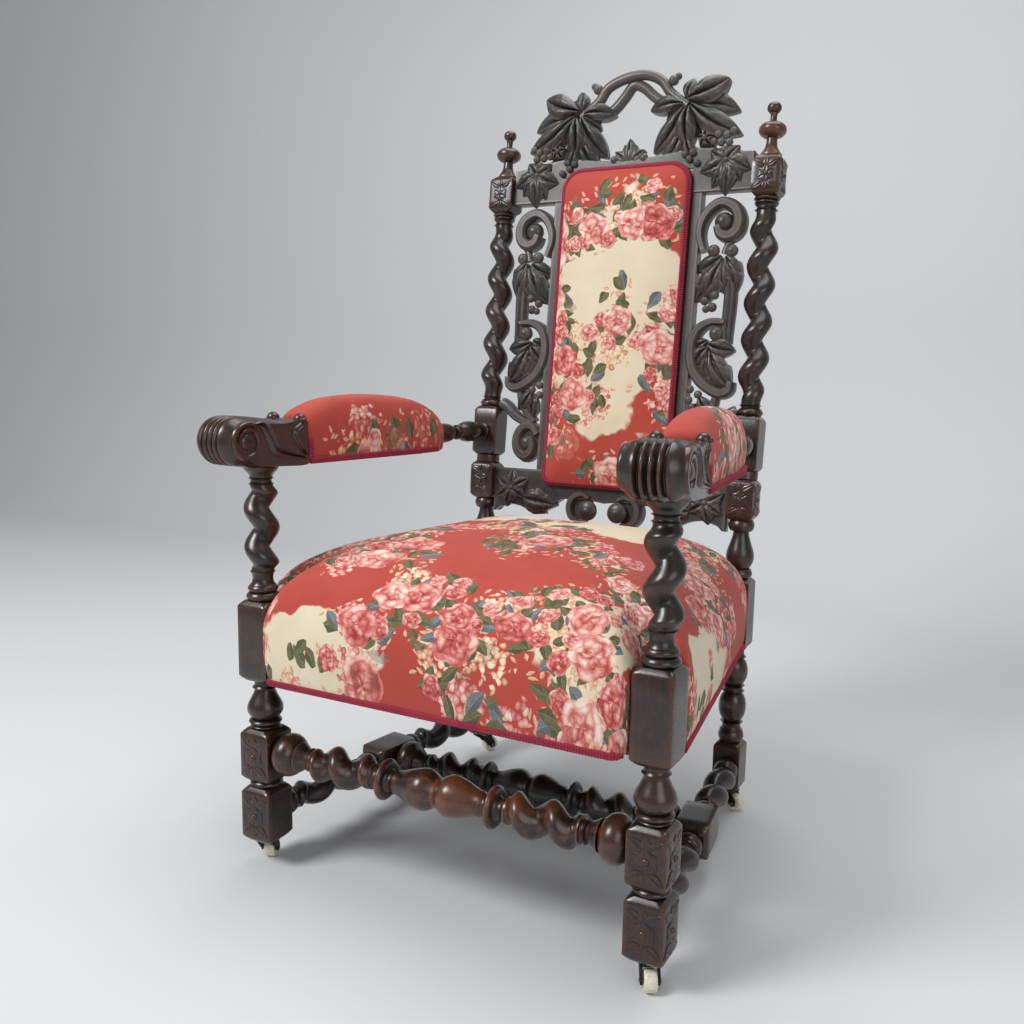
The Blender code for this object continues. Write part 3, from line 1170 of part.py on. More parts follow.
def build_castor(parent, label, foot):
    """Screwed plate with its pivot, swivelling horn, axle pin and wheel under one foot."""
    plate_low = CASTOR_HEIGHT - FIT - PLATE_THICKNESS
    bridge_high = plate_low - FIT
    bridge_low = bridge_high - HORN_BRIDGE
    fixed = Turning(TURNED_SIDES)
    for at, radius in ((bridge_low - FIT - PIVOT_HEAD_THICKNESS, PIVOT_HEAD), (bridge_low - FIT, PIVOT_HEAD),
                       (bridge_low - FIT, PIVOT_RADIUS), (plate_low, PIVOT_RADIUS), (plate_low, PLATE_RADIUS),
                       (CASTOR_HEIGHT - FIT, PLATE_RADIUS)):
        fixed.ring(at, radius)
    add_piece(f"castor_plate_{label}", fixed.solid(), IRON, parent, foot)

    swivel = add_empty(f"swivel_axis_{label}", parent, foot, (0, 0, math.radians(CASTOR_TURN[label])))
    inside = WHEEL_WIDTH / 2 + WHEEL_PLAY
    outside = inside + HORN_CHEEK
    solids = [bar((0, -0.012, (bridge_low + bridge_high) / 2), (0, 0.010, (bridge_low + bridge_high) / 2),
                  outside, HORN_BRIDGE / 2)]
    tip = AXLE_RADIUS + 0.0035
    cheek = [(0.0085, bridge_high - 0.001), (0.0085, bridge_low)]
    cheek += [(-CASTOR_TRAIL + tip * math.cos(t), WHEEL_RADIUS + tip * math.sin(t))
              for t in (math.radians(a) for a in (-30, -90, -150, -210))]
    cheek.append((-0.0115, bridge_high - 0.001))
    for side in SIDES.values():
        near, far = side * inside, side * (outside - 0.0002)
        solids.append(plate(cheek, lambda a, b, c: Vector((c, a, b)), near, far))
    cutters = [rod((0, 0, bridge_low - 0.01), (0, 0, bridge_high + 0.01), around(PIVOT_RADIUS)),
               rod((-outside - 0.01, -CASTOR_TRAIL, WHEEL_RADIUS), (outside + 0.01, -CASTOR_TRAIL, WHEEL_RADIUS),
                   around(AXLE_RADIUS))]
    add_piece(f"castor_horn_{label}", carve(fuse(solids), cutters), IRON, swivel)

    wheel_axis = add_empty(f"wheel_axis_{label}", swivel, (0, -CASTOR_TRAIL, WHEEL_RADIUS))
    end = outside + 0.0012
    add_piece(f"castor_axle_{label}", rod((-end, 0, 0), (end, 0, 0), AXLE_RADIUS), STEEL, wheel_axis)
    half = WHEEL_WIDTH / 2
    bore = AXLE_RADIUS + FIT
    profile = [(-half, bore), (-half, WHEEL_RADIUS * 0.84), (-half * 0.55, WHEEL_RADIUS), (half * 0.55, WHEEL_RADIUS),
               (half, WHEEL_RADIUS * 0.84), (half, bore)]
    rings = []
    for i in range(WHEEL_SIDES):
        angle = 2 * math.pi * (i + 0.5) / WHEEL_SIDES
        reach = 1 / math.cos(math.pi / WHEEL_SIDES)
        rings.append([Vector((x, reach * r * math.sin(angle), -reach * r * math.cos(angle))) for x, r in profile])
    add_piece(f"castor_wheel_{label}", skin(rings, closed=True), CERAMIC, wheel_axis)


# Assembly

def centre_on_box(chair):
    """Move the chair so that its origin is under the middle of its box."""
    bpy.context.view_layer.update()
    ys = []
    for item in bpy.data.objects:
        if item.type == "MESH":
            ys += [(item.matrix_world @ vertex.co).y for vertex in item.data.vertices]
    chair.location.y = -(min(ys) + max(ys)) / 2


def build_chair():
    clear_scene()
    chair = add_empty("chair")
    back = add_empty("back_slope", chair, (0, DEPTH, KNEE_Z), (-RAKE, 0, 0))
    for label, side in SIDES.items():
        build_front_leg(chair, f"front_leg_{label}", side)
        build_back_post(chair, f"back_post_{label}", side)
        build_finial(back, f"finial_{label}", side)
        build_side_stretcher(chair, f"side_stretcher_{label}", side)
        build_side_rail(chair, f"seat_rail_{label}", side)
        build_arm(chair, f"arm_{label}", side)
        build_arm_pad(chair, f"arm_pad_{label}", side)
        build_stile(back, f"back_stile_{label}", side)
    build_front_stretcher(chair)
    build_cross_stretcher(chair)
    build_crosswise_rail(chair, "seat_rail_front", FRONT_HALF, LEG_HALF, 0)
    build_crosswise_rail(chair, "seat_rail_back", BACK_HALF, POST_HALF, DEPTH)
    build_corner_blocks(chair)
    build_seat_pad(chair)
    build_webbing(chair)
    build_bottom_cloth(chair)
    build_springs(chair)
    build_crest_rail(back)
    build_lower_back_rail(back)
    carving = side_carving()
    add_piece("carved_side_left", mirrored(carving), OAK, back)
    add_piece("carved_side_right", carving, OAK, back)
    build_back_pad(back)
    build_outside_back(back)
    for end, row in (("front", 0), ("back", 1)):
        for label, side in SIDES.items():
            build_castor(chair, f"{end}_{label}", frame_points(side)[row])
    centre_on_box(chair)


build_chair()
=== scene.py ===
"""Looks of the carved oak armchair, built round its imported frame."""

import json
import math

import bmesh
import bpy
import numpy as np
from mathutils import Matrix, Vector


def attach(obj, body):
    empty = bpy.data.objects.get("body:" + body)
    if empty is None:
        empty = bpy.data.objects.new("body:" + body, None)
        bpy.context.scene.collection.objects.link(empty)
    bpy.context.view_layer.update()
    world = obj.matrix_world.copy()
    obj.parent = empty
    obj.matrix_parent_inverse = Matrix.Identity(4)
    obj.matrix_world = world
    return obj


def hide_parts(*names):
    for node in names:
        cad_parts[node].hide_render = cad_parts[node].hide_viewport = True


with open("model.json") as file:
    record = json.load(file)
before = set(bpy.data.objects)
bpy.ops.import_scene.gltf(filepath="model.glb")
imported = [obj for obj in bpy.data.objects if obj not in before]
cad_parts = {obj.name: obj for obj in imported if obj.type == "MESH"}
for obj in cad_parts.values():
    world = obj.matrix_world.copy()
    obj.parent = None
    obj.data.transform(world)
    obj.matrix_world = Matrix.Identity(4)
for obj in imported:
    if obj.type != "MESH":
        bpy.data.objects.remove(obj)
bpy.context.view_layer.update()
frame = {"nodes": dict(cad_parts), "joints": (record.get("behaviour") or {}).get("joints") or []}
joints = {joint["name"]: joint for joint in frame["joints"]}

# Sizes repeated from the part's source, in metres
FRONT_HALF, BACK_HALF, DEPTH = 0.293, 0.234, 0.518
LEG_HALF, POST_HALF = 0.0255, 0.0222
CASTOR_HEIGHT, LOWER_BLOCK, MID_BLOCK, SEAT_BLOCK = 0.036, 0.0800, 0.0765, 0.114
SEAT_BLOCK_Z, MID_BLOCK_Z, FRONT_STRETCHER_Z = 0.3305, 0.1640, 0.1693
SIDE_STRETCHER_Z = CASTOR_HEIGHT + LOWER_BLOCK / 2
ARM_UNDERSIDE, ARM_AXIS_Z = 0.5745, 0.602
KNEE_Z, RAKE, KNEE_BLOCK = 0.514, math.radians(6.3), 0.064
ARM_BLOCK_LOW, ARM_BLOCK_HIGH = 0.5577, 0.645
TOP_BLOCK_LOW, TOP_BLOCK_HIGH, FINIAL_LENGTH = 0.9862, 1.0482, 0.083
BEAD, BALL, NECK = 0.0232, 0.0250, 0.0140
POST_BEAD, POST_BALL, POST_NECK = 0.0205, 0.0218, 0.0145
STRETCHER_BALL, STRETCHER_NECK, STRETCHER_RING, SIDE_BEAD = 0.0265, 0.0130, 0.0275, 0.0190
LEG_TWIST, POST_TWIST, STRETCHER_TWIST, SIDE_TWIST = 0.0262, 0.0232, 0.0270, 0.0225
LEG_TURNS, POST_TURNS, STRETCHER_TURNS, SIDE_TURNS = 2.25, 5.3, 2.0, 2.0
DOWEL = 0.0085
MIDDLE_BLOCK_LENGTH, MIDDLE_BLOCK_HALF = 0.088, 0.0240
RAIL_BOTTOM, RAIL_HEIGHT, RAIL_THICKNESS = 0.2815, 0.065, 0.025
SEAT_HEM, SEAT_CROWN, SEAT_PROUD, SEAT_MIDDLE_Y = 0.2775, 0.4825, 0.013, 0.250
SPRING_TOP, SPRING_WIRE = 0.402, 0.0020
ARM_WIDTH, NOSE_RADIUS, NOSE_REACH, NOSE_LIFT = 0.068, 0.033, 0.088, 0.004
CORE_HALF_WIDTH, CORE_HALF_HEIGHT = 0.020, 0.0215
ARM_PAD_FRONT, ARM_PAD_LENGTH, ARM_PAD_TOP, ARM_PAD_HALF = 0.056, 0.316, 0.670, 0.0355
BACK_PAD_HALF, BACK_PAD_LOW, BACK_PAD_HIGH = 0.1146, 0.5125, 1.0496
BACK_PAD_CORNER, BACK_PAD_CROWN, STILE_WIDTH, BOARD = 0.034, 0.030, 0.027, 0.022
LOWER_RAIL_HIGH = 0.5374
CREST_LOW, CREST_UNDER, CREST_SHOULDER, CREST_RIDGE = 0.9984, 1.037, 1.0593, 1.059
STRIP_WIDTH = 0.0165
WHEEL_RADIUS, WHEEL_WIDTH, AXLE_RADIUS = 0.0135, 0.0155, 0.0025
FIT = 0.0003

# Worked out from them
FRONT_Y = joints["swivel_front_right"]["pos_m"][1]
SIDE_ANGLE = math.atan2(FRONT_HALF - BACK_HALF, DEPTH)
SIDE_RUN = math.hypot(FRONT_HALF - BACK_HALF, DEPTH)
ARM_POST_Y = DEPTH + (ARM_AXIS_Z - KNEE_Z) * math.tan(RAKE)
ARM_ANGLE = math.atan2(FRONT_HALF - BACK_HALF, ARM_POST_Y)
ARM_RUN = math.hypot(FRONT_HALF - BACK_HALF, ARM_POST_Y)
SIDES = {"left": -1, "right": 1}

# The looks' own sizes
TURNED_SIDES = 64
TWIST_HOLLOW = 0.60             # depth of the hollow, as a share of the twist's radius
BLOCK_SLOPE = 0.0075            # sloping ends of the square blocks
NOSE_TAPER, REED_DEPTH = 0.0105, 0.0066
SHARP_EDGE = math.radians(42)   # edges sharper than this stay crisp
BRAID_WIDTH, BRAID_THICKNESS, BRAID_RIB = 0.0095, 0.0034, 0.0038
ARM_PRINT_X = {-1: -0.9, 1: 1.31}       # where each arm pad's cover lies on the flat cloth
ARM_PRINT_Y, BACK_PRINT, PANEL_PRINT = 0.35, (2.0, 1.0), (4.0, 2.0)
PRINT_TURN = 6.28               # a full turn, for the print's random angles
CAMERA_PLACE = (0.6567, -1.026, 0.7146)
CAMERA_YAW, CAMERA_PITCH, CAMERA_ROLL = 0.4972, -0.145, 0.0176
CAMERA_LENS, CAMERA_SENSOR = 34.90, 36.0


# Shader sockets and nodes

class Wire:
    """A shader socket that takes part in sums, products and comparisons."""

    def __init__(self, paint, socket):
        self.paint, self.socket = paint, socket

    def __add__(self, other):
        return self.paint.maths("ADD", self, other)

    def __sub__(self, other):
        return self.paint.maths("SUBTRACT", self, other)

    def __rsub__(self, other):
        return self.paint.maths("SUBTRACT", other, self)

    def __mul__(self, other):
        return self.paint.maths("MULTIPLY", self, other)

    def __truediv__(self, other):
        return self.paint.maths("DIVIDE", self, other)

    def __gt__(self, other):
        return self.paint.maths("GREATER_THAN", self, other)

    def __abs__(self):
        return self.paint.maths("ABSOLUTE", self)

    __radd__ = __add__
    __rmul__ = __mul__


class Paint:
    """One procedural material."""

    def __init__(self, name):
        self.material = bpy.data.materials.new(name)
        self.material.use_nodes = True
        self.tree = self.material.node_tree
        self.tree.nodes.clear()

    def node(self, kind, settings=None, sockets=None, out=0):
        """Any node: its settings first, then the values or links of its sockets."""
        made = self.tree.nodes.new("ShaderNode" + kind)
        for key, value in (settings or {}).items():
            if key == "stops":
                ramp = made.color_ramp.elements
                while len(ramp) < len(value):
                    ramp.new(0.5)
                for stop, (at, colour) in zip(ramp, value):
                    stop.position, stop.color = at, (*colour, 1)
            else:
                setattr(made, key, value)
        for key, value in (sockets or {}).items():
            if isinstance(value, Wire):
                self.tree.links.new(value.socket, made.inputs[key])
            else:
                made.inputs[key].default_value = value
        return Wire(self, made.outputs[out]) if made.outputs else None

    def maths(self, operation, *values):
        return self.node("Math", {"operation": operation}, dict(enumerate(values)))

    def output_of(self, wire, out):
        """Another output of the node that a wire leaves."""
        return Wire(self, wire.socket.node.outputs[out])

    def mix(self, share, low, high):
        """Colour between low and high."""
        low, high = (value if isinstance(value, Wire) else (*value, 1) for value in (low, high))
        return self.node("Mix", {"data_type": "RGBA"}, {0: share, 6: low, 7: high}, out=2)

    def step(self, value, low, high):
        """Smooth step from 0 at low to 1 at high."""
        return self.node("MapRange", {"interpolation_type": "SMOOTHSTEP"}, {0: value, 1: low, 2: high})

    def noise(self, place, scale, detail=3.0, rough=0.5):
        return self.node("TexNoise", {},
                         {"Vector": place, "Scale": scale, "Detail": detail, "Roughness": rough})

    def vector(self, operation, *values, out=0):
        return self.node("VectorMath", {"operation": operation}, dict(enumerate(values)), out)

    def part(self, vector, axis):
        return self.node("SeparateXYZ", {}, {0: vector}, out=axis)

    def place(self):
        """Where a point lies on its own object."""
        return self.node("TexCoord", {}, {}, out=3)

    def pointed(self):
        """Above one half on ridges, below it in hollows."""
        return self.node("NewGeometry", {}, {}, out=7)

    def weave(self, place, threads):
        """Plain weave, with so many threads to the metre over a full turn."""
        across, along = (self.part(place, axis) * threads for axis in (0, 1))
        return self.maths("SINE", across) * 0.25 + self.maths("SINE", along) * 0.25 + 0.5

    def bump(self, height, distance, strength=1.0):
        return self.node("Bump", {}, {"Strength": strength, "Distance": distance, "Height": height})

    def finish(self, **sockets):
        """Principled surface; socket names are written with underscores for spaces."""
        named = {key.replace("_", " "): value for key, value in sockets.items()}
        for key, value in named.items():
            if isinstance(value, tuple):
                named[key] = (*value, 1)
        shader = self.node("BsdfPrincipled", {}, named)
        self.node("OutputMaterial", {}, {"Surface": shader})
        return self.material


# Finishes

def oak(name, ground, worn, wear, ridge_wear_and_highlight, sheen, coat, grain=(40, 40, 7)):
    """Old stained and waxed oak: hollows darkened as painted shade, wear in patches, highs rubbed bare and
    lightened as a painted highlight, fine open grain.
    """
    paint = Paint(name)
    place = paint.place()
    streaks = paint.noise(paint.vector("MULTIPLY", place, grain), 6.0, 6.0, 0.62)
    patches = paint.noise(place, 9.0, 3.0)
    fine = paint.noise(place, 240.0, 2.0)
    points = paint.pointed()
    # ridges, where pointiness is high: real wear rubbed bare, and on the carved oak also a painted highlight
    high = paint.step(points + (patches - 0.5) * 0.05, 0.505, 0.575)
    # painted shade: hollows, where pointiness is low, are darkened towards a third of the ground's tone
    low = paint.step(points, 0.50, 0.43)
    # shade is the tone of the painted shade in the hollows; light is the pale tone of the grain streaks
    shade, light = (tuple(channel * tone for channel in ground) for tone in (0.35, 1.9))
    colour = paint.mix(paint.step(streaks, 0.35, 0.72), ground, light)
    colour = paint.mix(paint.step(patches, 0.46, 0.72) * wear * 0.55, colour, worn)
    flecks = paint.step(paint.noise(place, 75.0, 5.0, 0.65), 0.50, 0.64)
    colour = paint.mix(flecks * wear * 0.45, colour, worn)
    # ridges lightened to the worn tone: rubbed wear and, on the carved oak, a painted highlight
    colour = paint.mix(high * ridge_wear_and_highlight, colour, worn)
    # painted shade laid into the hollows
    colour = paint.mix(low * 0.8, colour, shade)
    rough = sheen + (fine - 0.5) * 0.22 + low * 0.25 - high * 0.06
    height = streaks * 0.5 + fine * 0.25
    return paint.finish(Base_Color=colour, Roughness=rough, Normal=paint.bump(height, 0.0004, 0.45),
                        Coat_Weight=coat, Coat_Roughness=0.22)


def scattered(paint, place, spacing, shift, spread):
    """Random spots over the cloth: the way from the nearest one, its own random numbers and where it lies."""
    moved = paint.vector("ADD", place, shift)
    chance = paint.node("TexVoronoi", {"voronoi_dimensions": "2D"},
                        {"Vector": moved, "Scale": 1 / spacing, "Randomness": spread}, out=1)
    spot = paint.output_of(chance, 2)
    return paint.vector("SUBTRACT", moved, spot), chance, paint.vector("SUBTRACT", spot, shift)


def roses(paint, place, spacing, size, shift):
    """Full-blown roses: where they are, the light on their petals, a random tint and their middle."""
    local, chance, home = scattered(paint, place, spacing, shift, 0.75)
    tint, turn = paint.part(chance, 0), paint.part(chance, 1)
    x, y = paint.part(local, 0), paint.part(local, 1)
    bearing = paint.maths("ARCTAN2", y, x)
    ripple = paint.noise(place, 1.7 / size, 4.0, 0.6)
    scallop = abs(paint.maths("SINE", bearing * 2.5 + turn * PRINT_TURN))
    ragged = scallop * 0.14 + ripple * 0.34 + 0.70
    share = paint.vector("LENGTH", local, out=1) / (size * (turn * 0.35 + 0.8)) / ragged
    spread = paint.node("CombineXYZ", {}, {0: bearing * 1.25 + ripple * 1.2, 1: share * 3.1 + ripple * 1.4,
                                           2: tint * 40})
    petal = paint.node("TexVoronoi", {}, {"Vector": spread, "Scale": 1.0, "Randomness": 0.8})
    shade = paint.part(paint.output_of(petal, 1), 0)
    light = 0.98 - petal * 0.95 + (shade - 0.5) * 0.34 + (ripple - 0.5) * 0.5
    light = light + (share - 0.6) * 0.22 + y / size * 0.10
    return paint.step(share, 1.03, 0.95), light, tint, home


def clusters(paint, place, spacing, size, shift, floret):
    """Round heads of small blossoms."""
    local, chance, home = scattered(paint, place, spacing, shift, 0.8)
    cell = paint.node("TexVoronoi", {"voronoi_dimensions": "2D"}, {"Vector": place, "Scale": 1 / floret})
    bud = paint.output_of(cell, 1)
    inside = paint.vector("LENGTH", local, out=1) / size + paint.part(bud, 0) * 0.55
    light = (1 - cell) * 0.75 + (paint.part(bud, 1) - 0.5) * 0.55
    return paint.step(inside, 1.0, 0.97) * paint.step(cell, 0.66, 0.52), light, paint.part(chance, 0), home


def leaves(paint, place, spacing, size, shift, slim):
    """Printed leaves with a pale midrib, scattered at all angles."""
    local, chance, home = scattered(paint, place, spacing, shift, 0.9)
    turn, tint = paint.part(chance, 0), paint.part(chance, 1)
    local = paint.node("VectorRotate", {"rotation_type": "Z_AXIS"},
                       {"Vector": local, "Angle": turn * PRINT_TURN})
    along, across = paint.part(local, 0) / size, abs(paint.part(local, 1)) / (size * slim)
    mask = paint.step((1 - along * along) * (1 - along * 0.30) - across, 0.0, 0.08)
    ribs = (along + across * 0.5) * 26
    blot = paint.noise(place, 1.6 / size, 3.0)
    light = paint.step(across, 0.10, 0.03) * 0.25 + paint.maths("SINE", ribs) * 0.07 + blot * 0.55
    return mask, light + paint.step(paint.part(local, 1), -0.002, 0.002) * 0.18, tint, home


CREAM_BREAKS = [                # middle and reach on the flat cloth
    ((2.00, 1.80), (0.115, 0.185)), ((-0.17, -0.165), (0.125, 0.065)), ((0.23, -0.08), (0.080, 0.085)),
    ((0.03, 0.34), (0.170, 0.085)), ((0.42, 0.16), (0.060, 0.130)), ((-0.32, -0.06), (0.060, 0.060))]


def printed_cover():
    """Linen union printed with bunches of roses and leaves on coral red, with cream breaks in the ground."""
    paint = Paint("printed_cover")
    flat = paint.node("Attribute", {"attribute_name": "cloth_place"}, {}, out=1)
    wander = paint.node("TexNoise", {}, {"Vector": flat, "Scale": 26.0, "Detail": 4.0}, out=1)
    shake = paint.vector("SUBTRACT", wander, (0.5, 0.5, 0.5))
    drawn = paint.vector("ADD", flat, paint.vector("MULTIPLY", shake, (0.013, 0.013, 0.0)))
    faded = paint.noise(flat, 14.0, 4.0)
    brush = paint.noise(flat, 380.0, 2.0)

    def break_depth(place):
        """Above zero where the ground breaks to cream."""
        depth = None
        for middle, (wide, tall) in CREAM_BREAKS:
            off = paint.vector("SUBTRACT", place, (*middle, 0))
            off = paint.vector("MULTIPLY", off, (1 / wide, 1 / tall, 0))
            inside = 1 - paint.vector("LENGTH", off, out=1)
            depth = paint.maths("MAXIMUM", inside, depth) if depth else inside
        return depth + (paint.noise(place, 11.0, 3.0) - 0.5) * 1.5

    def lay(colour, motif, level, stops):
        """Print one kind of motif, in bunches that gather where the ground changes."""
        mask, light, tint, home = motif
        depth = break_depth(home)
        bare = paint.step(depth, 0.25, 0.45) * 0.10 - paint.step(depth, 0.66, 0.80) * 0.20
        bunch = paint.noise(home, 6.0, 1.0) + paint.step(abs(depth), 0.50, 0.15) * 0.05 - bare
        light = light + (brush - 0.5) * 0.35
        inks = paint.mix(tint > 0.5, *(paint.node("ValToRGB", {"stops": stop}, {0: light}) for stop in stops))
        return paint.mix(mask * paint.step(bunch, level, level + 0.01), colour, inks)

    olive = [(0.15, (0.050, 0.058, 0.022)), (0.5, (0.130, 0.135, 0.060)), (0.9, (0.33, 0.31, 0.17))]
    slate = [(0.15, (0.070, 0.088, 0.105)), (0.5, (0.17, 0.20, 0.21)), (0.9, (0.38, 0.40, 0.36))]
    rose = [(0.12, (0.300, 0.022, 0.026)), (0.42, (0.560, 0.110, 0.105)), (0.66, (0.720, 0.270, 0.235)),
            (0.92, (0.860, 0.570, 0.480))]
    pink = [(0.12, (0.400, 0.048, 0.050)), (0.42, (0.670, 0.230, 0.200)), (0.66, (0.790, 0.440, 0.370)),
            (0.92, (0.890, 0.720, 0.610))]
    blush = [(0.15, (0.520, 0.170, 0.110)), (0.42, (0.730, 0.420, 0.270)), (0.62, (0.820, 0.610, 0.400)),
             (0.85, (0.880, 0.780, 0.590))]
    red = paint.mix(faded, (0.385, 0.034, 0.026), (0.500, 0.070, 0.052))
    pale = paint.mix(faded, (0.66, 0.55, 0.36), (0.82, 0.75, 0.58))
    colour = paint.mix(paint.step(break_depth(drawn), -0.04, 0.04), red, pale)
    for motif, level, stops in (        # each layer's motif, how closely it bunches and its two inks
            (leaves(paint, drawn, 0.015, 0.0062, (3.1, 1.9, 0), 0.40), 0.470, (blush, blush)),
            (clusters(paint, drawn, 0.080, 0.0420, (4.4, 3.5, 0), 0.0082), 0.485, (blush, pink)),
            (leaves(paint, drawn, 0.033, 0.0185, (1.7, 1.0, 0), 0.46), 0.500, (olive, slate)),
            (leaves(paint, drawn, 0.028, 0.0150, (5.3, 3.2, 0), 0.52), 0.510, (olive, olive)),
            (roses(paint, drawn, 0.042, 0.0160, (2.3, 0.9, 0)), 0.530, (rose, pink)),
            (roses(paint, drawn, 0.072, 0.0315, (0.9, 0.3, 0)), 0.520, (rose, pink))):
        colour = lay(colour, motif, level, stops)
    weave = paint.weave(flat, 5200)
    slubs = paint.noise(paint.vector("MULTIPLY", flat, (260, 2600, 1)), 1.0, 2.0)
    colour = paint.mix(slubs * 0.16, colour, (0.30, 0.20, 0.13))
    return paint.finish(Base_Color=colour, Roughness=0.86 + slubs * 0.1, Sheen_Weight=0.10,
                        Sheen_Roughness=0.5, Specular_IOR_Level=0.25,
                        Normal=paint.bump(weave + slubs, 0.00025, 0.6))


def braid():
    """Crimson ribbed braid, darkened with painted shade in the hollows between its ribs."""
    paint = Paint("braid")
    place = paint.place()
    thread = paint.noise(place, 900.0, 2.0)
    patches = paint.noise(place, 30.0, 3.0)
    colour = paint.mix(thread, (0.150, 0.006, 0.022), (0.370, 0.018, 0.052))
    colour = paint.mix(paint.step(patches, 0.45, 0.75) * 0.4, colour, (0.400, 0.034, 0.042))
    # painted shade: hollows between the ribs, where pointiness is low, are darkened to a near black crimson
    colour = paint.mix(paint.step(paint.pointed(), 0.50, 0.42) * 0.7, colour, (0.040, 0.003, 0.010))
    return paint.finish(Base_Color=colour, Roughness=0.75 + thread * 0.2, Sheen_Weight=0.05,
                        Normal=paint.bump(thread, 0.0004, 0.7))


def plain_cloth(name, low, high, threads, height):
    """Plain woven cloth, a little worn."""
    paint = Paint(name)
    place = paint.place()
    weave = paint.weave(place, threads)
    wear = paint.noise(place, 18.0, 4.0)
    colour = paint.mix(weave * 0.6 + wear * 0.4, low, high)
    return paint.finish(Base_Color=colour, Roughness=0.88 + wear * 0.1, Normal=paint.bump(weave, height, 0.6))


def metal(name, clean, tarnish, rough):
    """Old metal, tarnished in patches."""
    paint = Paint(name)
    place = paint.place()
    stain = paint.noise(place, 160.0, 5.0, 0.6)
    colour = paint.mix(paint.step(stain, 0.40, 0.62), clean, tarnish)
    return paint.finish(Base_Color=colour, Metallic=1.0, Roughness=rough + (stain - 0.5) * 0.35,
                        Normal=paint.bump(stain, 0.0003, 0.4))


def glazed_cream():
    """Cream glazed ware with fine brown crazing and scuffs."""
    paint = Paint("cream_ceramic")
    place = paint.place()
    crazing = paint.node("TexVoronoi", {"feature": "DISTANCE_TO_EDGE"}, {"Vector": place, "Scale": 420.0})
    scuffs = paint.noise(place, 300.0, 4.0)
    colour = paint.mix(paint.step(scuffs, 0.4, 0.7), (0.80, 0.75, 0.62), (0.66, 0.58, 0.43))
    colour = paint.mix(paint.step(crazing, 0.03, 0.0) * 0.5, colour, (0.25, 0.18, 0.10))
    return paint.finish(Base_Color=colour, Roughness=0.24 + scuffs * 0.2)


# The carved oak's light grey worn tone serves its dust and wear, and on the ridges also a painted highlight.
CARVED_OAK = oak("carved_oak", ground=(0.0132, 0.0108, 0.0097), worn=(0.125, 0.106, 0.095),
                 wear=0.45, ridge_wear_and_highlight=0.95, sheen=0.44, coat=0.18)
TURNED_OAK = oak("turned_oak", ground=(0.0100, 0.0060, 0.0046), worn=(0.068, 0.026, 0.014),
                 wear=0.85, ridge_wear_and_highlight=0.85, sheen=0.32, coat=0.30)
WORN_OAK = oak("worn_oak", ground=(0.0150, 0.0072, 0.0048), worn=(0.185, 0.060, 0.026),
               wear=1.0, ridge_wear_and_highlight=1.0, sheen=0.33, coat=0.30, grain=(7, 40, 40))
COVER = printed_cover()
BRAID = braid()
BLACK_CLOTH = plain_cloth("bottom_cloth", (0.010, 0.010, 0.011), (0.030, 0.030, 0.032), 4200.0, 0.0002)
JUTE = plain_cloth("jute_webbing", (0.22, 0.15, 0.085), (0.46, 0.35, 0.22), 2600.0, 0.0005)
IRON = metal("castor_iron", (0.055, 0.048, 0.042), (0.020, 0.014, 0.010), 0.52)
STEEL = metal("drawn_steel", (0.36, 0.35, 0.34), (0.16, 0.12, 0.09), 0.38)
CERAMIC = glazed_cream()


# Shapes

def clamp(value):
    """The value, held between 0 and 1."""
    return min(1.0, max(0.0, value))


def around(count):
    """Even bearings of a full turn."""
    return np.linspace(0, 2 * math.pi, count, endpoint=False)


def unit(vectors):
    return vectors / np.linalg.norm(vectors, axis=1)[:, None]


def lengths(path):
    """How far along a path each of its points lies."""
    return np.concatenate([[0], np.cumsum(np.linalg.norm(np.diff(path, axis=0), axis=1))])


def oval(centre, wide, tall, count=32):
    return [(centre[0] + wide * math.cos(t), centre[1] + tall * math.sin(t)) for t in around(count)]


def mirrored(right, middle):
    """Outline across the chair's middle, from its right half and the points between."""
    return right + middle + [(-x, v) for x, v in reversed(right)]


def curve(points, count):
    """Smooth run of points through the given ones."""
    points = np.asarray(points, float)
    ends = np.vstack([2 * points[0] - points[1], points, 2 * points[-1] - points[-2]])
    at = np.linspace(0, len(points) - 1, count)
    i = np.minimum(at.astype(int), len(points) - 2)
    t = (at - i)[:, None]
    a, b, c, d = (ends[i + k] for k in range(4))
    square, cube = 2 * a - 5 * b + 4 * c - d, 3 * b - a - 3 * c + d
    return 0.5 * (2 * b + (c - a) * t + square * t ** 2 + cube * t ** 3)


def sideways(path):
    """Unit normals of a flat path."""
    run = unit(np.gradient(path[:, :2], axis=0))
    return np.stack([-run[:, 1], run[:, 0]], -1)


